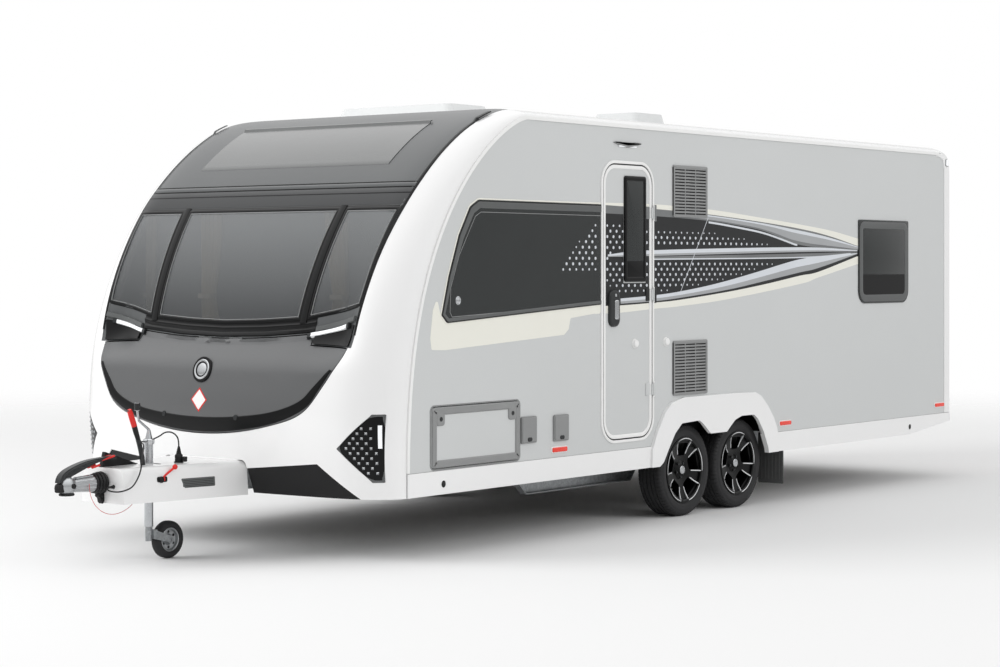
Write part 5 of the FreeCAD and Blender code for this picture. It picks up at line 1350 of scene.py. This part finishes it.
def hatch_trim():
    """The hatch's surround and frame, with a lock box at either end of its top."""
    place = on_wall(1, WALL + 4)
    outline = rectangle(-2350, 500, -1552, 835, 22, 6)
    piece("hatch_frame", GREY_PLASTIC,
        moulding(outline, [(-1, -1), (-1, 4), (-5, 7), (-34, 7), (-42, 2), (-42, -1)], place), body="hatch")
    boxes, barrels = [], []
    for y in (-2278, -1624):
        boxes.append(plate(rectangle(y - 36, 733, y + 36, 805, 20), [(0, -1), (0, 5), (-4, 7.5), (-8, 8)],
            place))
        barrels.append(turned([(5, 0), (5, 13), (9, 13), (10.5, 11), (9, 9), (8.5, 0)], (WALL + 4, y, 770),
            (1, 0, 0), 24))
    piece("hatch_lock_boxes", GREY_PLASTIC, *boxes, body="hatch")
    piece("hatch_locks", DARK_PLASTIC, *barrels, body="hatch")
    surround = moulding(outline, [(5.4, -5), (5.4, -3), (8, -2), (12, -2), (14, -5)], place)
    piece("hatch_surround", GREY_PLASTIC, surround)


hatch_trim()


def vent_faces():
    """The louvred vents: a raised frame, two dividers, and wavy blades between them."""
    place = on_wall(1, WALL + 9)
    frames, dividers, blades, meshes = [], [], [], []
    for low, high in ((1930, 2261), (791, 1140)):
        outline = rectangle(68, low, 470, high, 12)
        frames.append(moulding(outline, [(0, -9), (0, 0.5), (-2, 1.5), (-15, 1.5), (-18, -3), (-18, -9)],
            place))
        for y in (208, 330):
            dividers.append(plate(rectangle(y - 4, low + 14, y + 4, high - 14),
                [(0, -7), (0, -1), (-1, -0.4)], place))
        height = low + 29
        while height + 10 < high - 16:
            line = [(y, height + 1.6 * sin((y - 86) / 122 * 2 * pi)) for y in steps_from(86, 452, 37)]
            blade = line + [(y, z + 8.5) for y, z in reversed(line)]
            blades.append(plate(blade, [(0, -7.5), (0, -0.8), (-1, -0.4)], place))
            height += 20
        meshes.append(plate(rectangle(84, low + 16, 454, high - 16), [(0, -8.5), (0, -5.9)], place))
    piece("vent_frames", GREY_PLASTIC, *frames)
    piece("vent_dividers", GREY_PLASTIC, *dividers)
    piece("vent_blades", GREY_PLASTIC, *blades)
    piece("vent_mesh", GRAINED_BLACK, *meshes)


def hinge_covers():
    """Snap-on covers over the door's hinges, in the colour of what lies round them."""
    place = on_wall(1)
    for low, material, slot in ((805, WALL_PAINT, "shell_white"), (1397.5, GRAPHITE_FILM, "dark_gloss"),
            (1910, SHADED_FILM, "grey_plastic")):
        label = "%d" % low
        piece("hinge_cover_door_" + label, material, plate(rectangle(-241, low + 1, -201, low + 79, 6),
            [(0, -1), (0, 5.5), (-2, 6.5)], place), body="door", slot=slot)
        piece("hinge_cover_wall_" + label, material, plate(rectangle(-150, low - 12, -121, low + 92, 5),
            [(0, -1), (0, 4.5), (-2, 5.5)], place), slot=slot)


def mud_flaps():
    """Ribbed rubber flaps over the frame's own behind the rear wheels."""
    shapes = []
    for side in (1, -1):
        def place(x, z, height, side=side):
            return (side * x, 1443 + height, z)
        shapes.append(plate(rectangle(1012, 125, 1209, 470, 8), [(0, -5), (0, 5)], place))
        shapes += [plate(rectangle(x, 150, x + 8, 440, 3), [(0, way * 4), (0, way * 7), (-1.5, way * 8)],
            place) for way in (1, -1) for x in range(1036, 1190, 28)]
    piece("mud_flap_rubbers", FLAP_RUBBER, *shapes)


vent_faces()
hinge_covers()
mud_flaps()


def wall_fittings():
    """Side lamps, the flaps' lids, the jack hole and the awning lamp."""
    for name, side in SIDES.items():
        place = on_wall(side)
        lamps, bases = [], []
        for y, z in ((-1156, 530), (1474, 540), (3802, 550)):
            bases.append(plate(rectangle(y - 80, z - 19, y + 80, z + 19, 12), [(0, -1), (0, 3), (-2, 4)],
                place))
            lamps.append(plate(rectangle(y - 74, z - 14, y + 74, z + 14, 10),
                [(0, 0), (0, 8), (-4, 11), (-8, 12)], place))
        piece("side_lamp_bases_" + name, RAIL_WHITE, *bases)
        piece("side_lamps_" + name, RED_LENS, *lamps)
        skirt = on_wall(side, SKIRT)
        holes = [plate(disc(y, 410, 21, 28), [(0, -1), (0, 0.8), (-2, 1.2)], skirt) for y in (-2255, 3300)]
        rims = [moulding(disc(y, 410, 21, 28), [(5, -1), (5, 1), (1, 3), (-1, 3), (-1, -1)], skirt)
            for y in (-2255, 3300)]
        piece("jack_holes_" + name, GRAINED_BLACK, *holes)
        piece("jack_hole_rims_" + name, WHITE_MOULDING, *rims)
    place = on_wall(1, WALL + 12)
    lids, latches = [], []
    for y, z in ((-1538, 586), (-1219, 580)):
        lids.append(plate(rectangle(y + 6, z + 6, y + 140, z + 150, 10), [(0, -1), (0, 2), (-3, 4), (-8, 4)],
            place))
        latches.append(plate(rectangle(y + 52, z + 10, y + 94, z + 34, 10), [(0, 3), (0, 6), (-3, 8)], place))
    piece("flap_lids", GREY_PLASTIC, *lids)
    piece("flap_latches", DARK_PLASTIC, *latches)
    wing = smooth_line([(-592, 2378), (-520, 2384), (-445, 2368), (-370, 2384), (-297, 2378), (-350, 2362),
        (-445, 2350), (-540, 2362)], 5, closed=True)
    piece("awning_lamp", GREY_PLASTIC, plate(wing, [(0, -1), (0, 7), (-3, 11), (-6, 12)], on_wall(1)))
    piece("awning_lamp_lens", WHITE_LENS,
        plate(rectangle(-540, 2352, -350, 2360, 3, 3), [(0, 4), (0, 9), (-1.5, 10)], on_wall(1)))


wall_fittings()


# Curtains inside the panes

CURTAIN_Y, SHADE_LINING_Y = -2341, -2330
HEAD_Z, HEM_Z, TIE_Z = 1930, 1276, 1440
FULLNESS = 1.75    # cut width over hung width
CLOTH = 1.2

def folds_of(flat, hung, count):
    """How deep a wave of count folds must swing for a flat width to hang in a narrower one."""
    low, high = 0.0, 80.0
    for _ in range(30):
        depth = (low + high) / 2
        steps = 24 * count
        length = 0.0
        for step in range(steps):
            swing = depth * (cos(2 * pi * count * (step + 1) / steps) - cos(2 * pi * count * step / steps))
            length += ((hung / steps) ** 2 + swing ** 2) ** 0.5
        low, high = (depth, high) if length < flat else (low, depth)
    return low


def curtains():
    """Four gathered curtains, each drawn in by a tie, on one track before a flat sheet of painted shade."""
    # a flat sheet painted as the cabin's shade, paler towards the top as painted light
    blind = piece("cabin_blind", SHADE_LINING_CLOTH,
        plate(rectangle(-1070, 1266, 1070, 1944, 4, 2), [(0, -0.5), (0, 1)], lambda x, z,
        height: (x, SHADE_LINING_Y - height, z)))
    track = piece("curtain_track", RAIL_WHITE,
        plate(rectangle(-1072, 1932, 1072, 1944, 3, 2), [(0, -7), (0, 7)], lambda x, z,
        height: (x, CURTAIN_Y + height, z)), slot="rail_metal")
    for label, centre, half, out in (("far_off", -1020, 45, -1), ("off", -500, 85, -1), ("near", 500, 85, 1),
            ("far_near", 1020, 45, 1)):
        count = 3 if half < 60 else 5
        flat = half * 2 * FULLNESS
        outer, inner = [], []
        for step in range(33):
            z = HEAD_Z - (HEAD_Z - HEM_Z) * step / 32
            gather = 0.34 * (1 - abs(z - TIE_Z) / 490) ** 2 if z > TIE_Z else 0.34 - 0.2 * (TIE_Z - z) / 165
            width = 2 * half * (1 - gather)
            depth = folds_of(flat, width, count)
            middle = centre + out * half * gather
            row = []
            for column in range(16 * count + 1):
                share = column / (16 * count)
                row.append((middle + width * (share - 0.5),
                    CURTAIN_Y + depth * cos(2 * pi * count * share + 0.004 * (z - TIE_Z)), z))
            outer.append(row)
            inner.append([(x, y + CLOTH, z) for x, y, z in row])
        cloth = piece("curtain_" + label, CURTAIN_LINEN, slab(outer, inner), angle=80)
        tie_middle, tie_half = centre + out * half * 0.34, half * 0.68
        tie = piece("curtain_tie_" + label, CURTAIN_LINEN,
            moulding(rounded([(tie_middle - tie_half, -2378), (tie_middle + tie_half, -2378),
            (tie_middle + tie_half, -2304), (tie_middle - tie_half, -2304)], 20, 4),
            [(0, 1424), (3, 1426), (3, 1452), (0, 1454)], flat_on))
        if label == "near":
            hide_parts("curtains")


curtains()


# Drawbar

def coupling():
    """The silver dome round the ball, its pads, the ribbed neck and the folded gaiter."""
    axis, ball = 455, -3915    # the shaft's height, and the ball's centre along Y
    dome = turned([(-40, 0), (-40, 33), (-28, 44), (-14, 50), (0, 52), (14, 50), (28, 44), (38, 35.5),
        (46, 24), (51, 10), (52, 0)], (0, ball, axis), (0, 0, 1), 44)
    neck = turned([(0, 0), (0, 36), (60, 39), (130, 44), (146, 45), (152, 42), (152, 0)], (0, -3882, axis),
        (0, 1, 0), 40)
    head = piece("coupling_casting", SILVER_CAST, dome, neck)
    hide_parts("coupling_head")
    nose_pad = turned([(0, 0), (0, 22), (5, 27), (34, 27), (44, 22), (50, 10), (50, 0)], (0, -3962, 424),
        (0, 0, 1), 32)
    piece("coupling_nose_pad", BLACK_RUBBER, nose_pad)
    pads = [turned([(0, 0), (0, 12), (3, 14.5), (10, 13.5), (13, 10), (13, 0)],
        (side * 46, ball + 4, axis + 2), (side, 0, 0), 28) for side in (1, -1)]
    piece("coupling_pads", BLACK_RUBBER, *pads)
    mouth = turned([(0, 27), (0, 40), (-3, 42), (-10, 41), (-12, 38), (-12, 27)], (0, ball, 416), (0, 0, 1),
        40)
    piece("coupling_mouth_lip", BLACK_RUBBER, mouth)
    neck_ribs = []
    for side in (1, -1):
        for share in (-1, -0.5, 0, 0.5, 1):
            high = 34 * sin(0.9 * share)
            wide = 34 * cos(0.9 * share)
            neck_ribs.append(bar([(side * wide, -3872, axis + high),
                (side * wide * 1.12, -3810, axis + high * 1.12),
                (side * wide * 1.24, -3744, axis + high * 1.24)], [4, 5, 5.5], 10))
    for share in (-1, -0.4, 0.4, 1):
        neck_ribs.append(bar([(9 * share, -3858, axis + 37), (14 * share, -3746, axis + 43)], 5, 10))
    piece("coupling_ribs", SILVER_CAST, *neck_ribs)
    folds = [(0, 0), (0, 44), (3, 48)]
    for centre, top in ((10, 52), (29, 57), (48, 60), (67, 61)):
        folds += [(centre + shift, top - drop) for shift, drop in ((-7, 5), (-4.5, 1.6), (0, 0), (4.5, 1.6),
            (7, 5), (9.5, 9))]
    folds += [(78, 47), (98, 47), (98, 0)]
    gaiter = piece("overrun_gaiter", BLACK_RUBBER, turned(folds, (0, -3742, axis), (0, 1, 0), 44), angle=50)
    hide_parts("overrun_bellows")
    bracket = plate(rounded([(-3702, 402), (-3662, 402), (-3662, 356), (-3672, 340), (-3684, 352),
        (-3690, 374), (-3704, 384)], 4, 3), [(0, -14), (0, 14)], lambda y, z, height: (height, y, z))
    piece("gaiter_bracket", GRAINED_BLACK, bracket)


def cover_half(y, z):
    """Half the width of the drawbar's cover, which widens rearwards and narrows upwards."""
    return 165 + 151 * (y + 3660) / 788 - 12 * (z - 345) / 190


def drawbar():
    """The handle's marks and grips, the cover's panels, and the fittings on top of it."""
    marks = []
    for side in (1, -1):
        marks.append(bar([(side * 15, -3690, 573), (side * 15, -3640, 585), (side * 15, -3592, 593)],
            [5, 7, 7], 10))
        marks.append(bar([(side * 17, -3752, 541), (side * 17, -3700, 552)], 6.5, 10))
    piece("handle_red_marks", RED_PLASTIC, *marks)
    grips = [bar([(side * 16, -3966, 478), (side * 17, -3940, 516), (side * 17, -3880, 545),
        (side * 17, -3800, 566), (side * 17, -3720, 577)], [5, 7, 8, 8, 7], 10) for side in (1, -1)]
    piece("handle_side_ribs", DARK_PLASTIC, *grips)
    piece("handle_end_pad", BLACK_RUBBER, turned([(0, 0), (0, 17), (4, 20), (34, 20), (38, 17), (38, 0)],
        (-19, -3966, 447), (1, 0, 0), 28))
    louvres, backs = [], []
    for side in (1, -1):
        def face(y, z, height, side=side):
            return (side * (cover_half(y, z) + height), y, z)
        backs.append(plate(rounded([(-3302, 461), (-3085, 461), (-3085, 409), (-3280, 409)], 5, 3),
            [(0, -6), (0, 0.6), (-2, 1.2)], face))
        louvres += [plate([(-3290 + index * 4, 451 - index * 9), (-3096, 451 - index * 9),
            (-3096, 448 - index * 9), (-3289 + index * 4, 448 - index * 9)], [(0, 0), (0, 1.6)], face)
            for index in range(5)]
    piece("cover_side_panels", FRAME_GREY, *backs)
    piece("cover_side_louvres", DARK_PLASTIC, *louvres)
    knob = turned([(0, 0), (0, 14), (3, 16.5), (26, 17.5), (38, 16), (44, 10), (46, 0)], (0, -3410, 829),
        (0, 0, 1), 24)
    piece("crank_grip", DARK_PLASTIC, knob, body="jockey_tube")
    collar = turned([(0, 24.4), (0, 30), (10, 32), (24, 32), (28, 28), (28, 24.4)], (0, -3325, 640),
        (0, 0, 1), 36)
    piece("jockey_top_collar", SATIN_STEEL, collar, body="jockey_tube")
    line = [(50, -3452, 675), (50, -3466, 712), (50, -3480, 750)]
    piece("brake_grip", BLACK_RUBBER, bar(line, [12, 14.5, 15], 16))
    line = [(50, -3479, 748), (50, -3494, 786), (50, -3508, 820), (50, -3516, 840)]
    piece("brake_grip_end", RED_PLASTIC, bar(line, [15.5, 16, 15, 12], 16))
    strut = bar([(42, -3400, 545), (42, -3416, 610), (42, -3440, 668)], 5, 10)
    piece("brake_strut", SATIN_STEEL, strut)
    root = turned([(0, 0), (0, 17), (4, 18), (12, 17), (15, 13), (15, 0)], (199, -3426, 464), (1, 0, 0), 24)
    piece("clamp_lever_boss", GRAINED_BLACK, root)
    socket = plate(rectangle(-3452, 450, -3388, 480, 10), [(0, -2), (0, 2), (-2, 3)], lambda y, z,
        height: (cover_half(y, z) + height, y, z))
    piece("clamp_lever_socket", GRAINED_BLACK, socket)
    ball = turned([(-15, 0), (-14, 6), (-9, 12), (0, 15), (9, 12), (14, 6), (15, 0)], (230, -3349, 529),
        (0, 0, 1), 20)
    piece("clamp_lever_ball", RED_PLASTIC, ball)
    joint = [(-309, 420), (-304, 470), (-299, 500), (-288, 524), (-262, 537)]
    joint += [(x, 538) for x in steps_from(-220, 220, 9)] + [(-x, z) for x, z in reversed(joint)]
    piece("cover_joint_bead", WHITE_MOULDING, bar([(x, front_depth(x, z) - 1, z) for x, z in joint], 6, 12))
    slot_plate = plate(rectangle(38, -3330, 92, -3318, 5), [(0, -1), (0, 1.2), (-1, 1.6)], lambda x, y,
        height: (x, y, 535 + height))
    piece("cover_top_slot", GRAINED_BLACK, slot_plate)
    cap = [turned([(0, 0), (0, 13), (3, 15), (24, 15), (28, 12), (28, 0)], (136, -3186, 541), (0, 0, 1), 24),
        bar([(118, -3190, 560), (136, -3186, 560)], 6, 8)]
    piece("plug_park_cap", BLACK_RUBBER, *cap)


def jockey_roller():
    """A solid rubber tyre on a pressed rim with six holes."""
    centre, axle = (0, -3185, 104), (1, 0, 0)
    tyre = turned([(-23, 66), (-28, 71), (-29, 84), (-26, 96), (-16, 102.6), (0, 104), (16, 102.6), (26, 96),
        (29, 84), (28, 71), (23, 66)], centre, axle, 48)
    made = piece("jockey_tyre", TYRE_RUBBER, tyre, body="jockey_roller", angle=50)
    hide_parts("jockey_wheel")
    rim = turned([(-23, 66.4), (-25, 63), (-23, 58), (-9, 53), (-7, 32), (-18, 25), (-29, 22), (-29, 8.3),
        (29, 8.3), (29, 22), (18, 25), (7, 32), (9, 53), (23, 58), (25, 63), (23, 66.4)], centre, axle, 48)
    piece("jockey_rim", SILVER_CAST, rim, body="jockey_roller")
    holes = []
    for side in (1, -1):
        for index in range(6):
            turn = 2 * pi * index / 6
            holes.append(turned([(6, 0), (6, 8), (9, 8), (9, 0)],
                (0, centre[1] + 43 * sin(turn), centre[2] + 43 * cos(turn)), (side, 0, 0), 20))
    piece("jockey_rim_holes", GRAINED_BLACK, *holes, body="jockey_roller")


coupling()
jockey_roller()
drawbar()


# Rear end and off side

def rear_end():
    """Lenses, a blank plate, the upper brake lamp, finger pulls and the side walls' white tails."""
    housings, red, amber, clear = [], [], [], []
    for side in (1, -1):
        place = flipped(on_rear, side)
        rim = [(0, 2), (0, 4.8), (-3, 5.5)]
        case = rounded([(880, 640), (1120, 640), (1120, 1010), (1010, 1040), (880, 900)], 25)
        housings.append(plate(case, [(0, -24), (0, 3), (-2, 4)], place))
        tail = rounded([(905, 770), (1093, 770), (1093, 985), (1010, 1012), (905, 886)], 12, 4)
        red.append(plate(tail, rim, place))
        red.append(plate(rectangle(1005, 660, 1093, 702, 8), rim, place))
        amber.append(plate(rectangle(905, 712, 1093, 758, 8), rim, place))
        clear.append(plate(rectangle(905, 660, 995, 702, 8), rim, place))
    upper = plate(rectangle(-150, 2160, 150, 2184, 8), [(0, -1), (0, 3), (-3, 4)], on_rear)
    housing = piece("rear_lamp_housings", GLOSS_BLACK, *housings, slot="dark_gloss")
    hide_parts("rear_lamps")
    piece("rear_red_lenses", RED_LENS, *red, upper)
    piece("rear_amber_lenses", AMBER_LENS, *amber)
    piece("rear_clear_lenses", WHITE_LENS, *clear)
    plate_line = rectangle(-262, 622, 262, 738, 8)
    piece("plate_frame", DARK_PLASTIC, moulding(plate_line, [(5, -1), (5, 3), (0, 4), (-4, 3), (-4, -1)],
        on_rear))
    piece("blank_plate", WHITE_FILM, plate(grown(plate_line, -4), [(0, -1), (0, 1.5)], on_rear))
    bead = rectangle(-830, 800, 830, 2100, 60, 8)
    piece("rear_panel_bead", WHITE_MOULDING, moulding(bead, [(6, -1), (4, 2.4), (-4, 2.4), (-6, -1)],
        on_rear))
    pulls = [plate(rectangle(x - 65, 1120, x + 65, 1156, 14), [(0, -1), (0, 2), (-3, 3)], on_rear)
        for x in (-960, 960)]
    piece("rear_finger_pulls", DARK_PLASTIC, *pulls)
    edge = [(3785 + 190 * cos(turn) ** 0.556, 2290 + 198 * sin(turn) ** 0.556) for turn in steps_from(0.001,
        pi / 2 - 0.12, 12)]
    tail = [(3975, 487)] + edge + [(3740, 2466), (3800, 2462), (3866, 2436), (3884, 2370), (3888, 2313),
        (3888, 487)]
    for name, side in SIDES.items():
        place = on_wall(side)
        piece("rear_wall_tail_" + name, WHITE_MOULDING, plate(tail, [(0, -1), (0, 2.5)], place))
        inner = smooth_line(tail[13:], 4)
        piece("rear_tail_bead_" + name, WHITE_MOULDING, bar([(side * (WALL + 2.5), y, z) for y, z in inner],
            5, 10))
        lamp = rounded([(3905, 2396), (3950, 2390), (3942, 2430), (3915, 2446)], 7, 3)
        piece("rear_marker_base_" + name, GREY_PLASTIC, plate(grown(lamp, 4), [(0, 0), (0, 7)], place))
        piece("rear_marker_lens_" + name, WHITE_LENS, plate(lamp, [(0, 6), (0, 12), (-3, 15), (-8, 16)],
            place))


def off_side_flaps():
    """Service doors of the far side, as on caravans of this type: cassette, mains and water."""
    place = on_wall(-1)
    doors, frames, locks = [], [], []
    for y0, z0, y1, z1 in ((2960, 560, 3320, 880), (1760, 640, 1920, 840), (-980, 620, -840, 780)):
        outline = rectangle(y0, z0, y1, z1, 18)
        frames.append(moulding(outline, [(20, -1), (20, 4), (16, 7), (3, 7), (0, 4), (0, -1)], place))
        doors.append(plate(grown(outline, -2), [(0, -1), (0, 4), (-2, 5)], place))
        locks.append(turned([(4, 0), (4, 12), (7, 12), (9, 10), (8, 8), (7, 0)],
            (-WALL, (y0 + y1) / 2, z1 - 26), (-1, 0, 0), 24))
    piece("service_door_frames", GREY_PLASTIC, *frames)
    piece("service_doors", WALL_PAINT, *doors)
    piece("service_door_locks", DARK_PLASTIC, *locks)


rear_end()
off_side_flaps()


# Stage and light

def stage():
    """A white floor that fades out towards the white world."""
    floor_mesh = bpy.data.meshes.new("studio_floor")
    ring = [(70 * cos(2 * pi * step / 64), 70 * sin(2 * pi * step / 64), 0) for step in range(64)]
    floor_mesh.from_pydata(ring, [], [list(range(64))])
    floor = bpy.data.objects.new("studio_floor", floor_mesh)
    scene.collection.objects.link(floor)
    material = bpy.data.materials.new("white_studio_floor")
    material.use_nodes = True
    tree = material.node_tree
    tree.nodes.clear()
    place = add(tree, "ShaderNodeTexCoord").outputs["Object"]
    reach = add(tree, "ShaderNodeVectorMath", {"operation": "LENGTH"}, links={0: place}).outputs["Value"]
    fade = add(tree, "ShaderNodeMapRange", {"interpolation_type": "SMOOTHSTEP"},
        {"From Min": 5.0, "From Max": 16.0}, {"Value": reach}).outputs[0]
    matt = add(tree, "ShaderNodeBsdfDiffuse", values={"Color": linear("F6F6F6")})
    clear = add(tree, "ShaderNodeBsdfTransparent")
    mixed = add(tree, "ShaderNodeMixShader", links={0: fade, 1: matt.outputs[0], 2: clear.outputs[0]})
    add(tree, "ShaderNodeOutputMaterial", links={"Surface": mixed.outputs[0]})
    floor_mesh.materials.append(material)


def light():
    """A white world, brighter overhead in reflections, and two large soft lamps."""
    world = bpy.data.worlds.new("studio")
    scene.world = world
    world.use_nodes = True
    tree = world.node_tree
    tree.nodes.clear()
    rays = add(tree, "ShaderNodeLightPath").outputs
    aloft = add(tree, "ShaderNodeSeparateXYZ",
        links={0: add(tree, "ShaderNodeTexCoord").outputs["Generated"]}).outputs["Z"]
    sky = add(tree, "ShaderNodeMapRange", values={"From Min": 0.02, "From Max": 0.9, "To Min": 0.5,
        "To Max": 1.9}, links={"Value": aloft}).outputs[0]
    dull = add(tree, "ShaderNodeMix", values={2: 0.74}, links={0: rays["Is Glossy Ray"], 3: sky}).outputs[0]
    strength = add(tree, "ShaderNodeMix", values={3: 1.0},
        links={0: rays["Is Camera Ray"], 2: dull}).outputs[0]
    back = add(tree, "ShaderNodeBackground", values={"Color": (1, 1, 1, 1)}, links={"Strength": strength})
    add(tree, "ShaderNodeOutputWorld", links={"Surface": back.outputs[0]})
    for name, place, aim, size, power in (("key", (-9, -12, 8), (0, -0.5, 0.8), 9.0, 1340),
            ("fill", (15, 3, 7), (0, 0.5, 1.0), 9.0, 520)):
        data = bpy.data.lights.new(name, "AREA")
        data.size = size
        data.energy = power
        lamp = bpy.data.objects.new(name, data)
        lamp.location = place
        lamp.visible_glossy = False
        lamp.rotation_euler = (Vector(aim) - Vector(place)).to_track_quat("-Z", "Y").to_euler()
        scene.collection.objects.link(lamp)


stage()
light()
scene.view_settings.view_transform = "Standard"
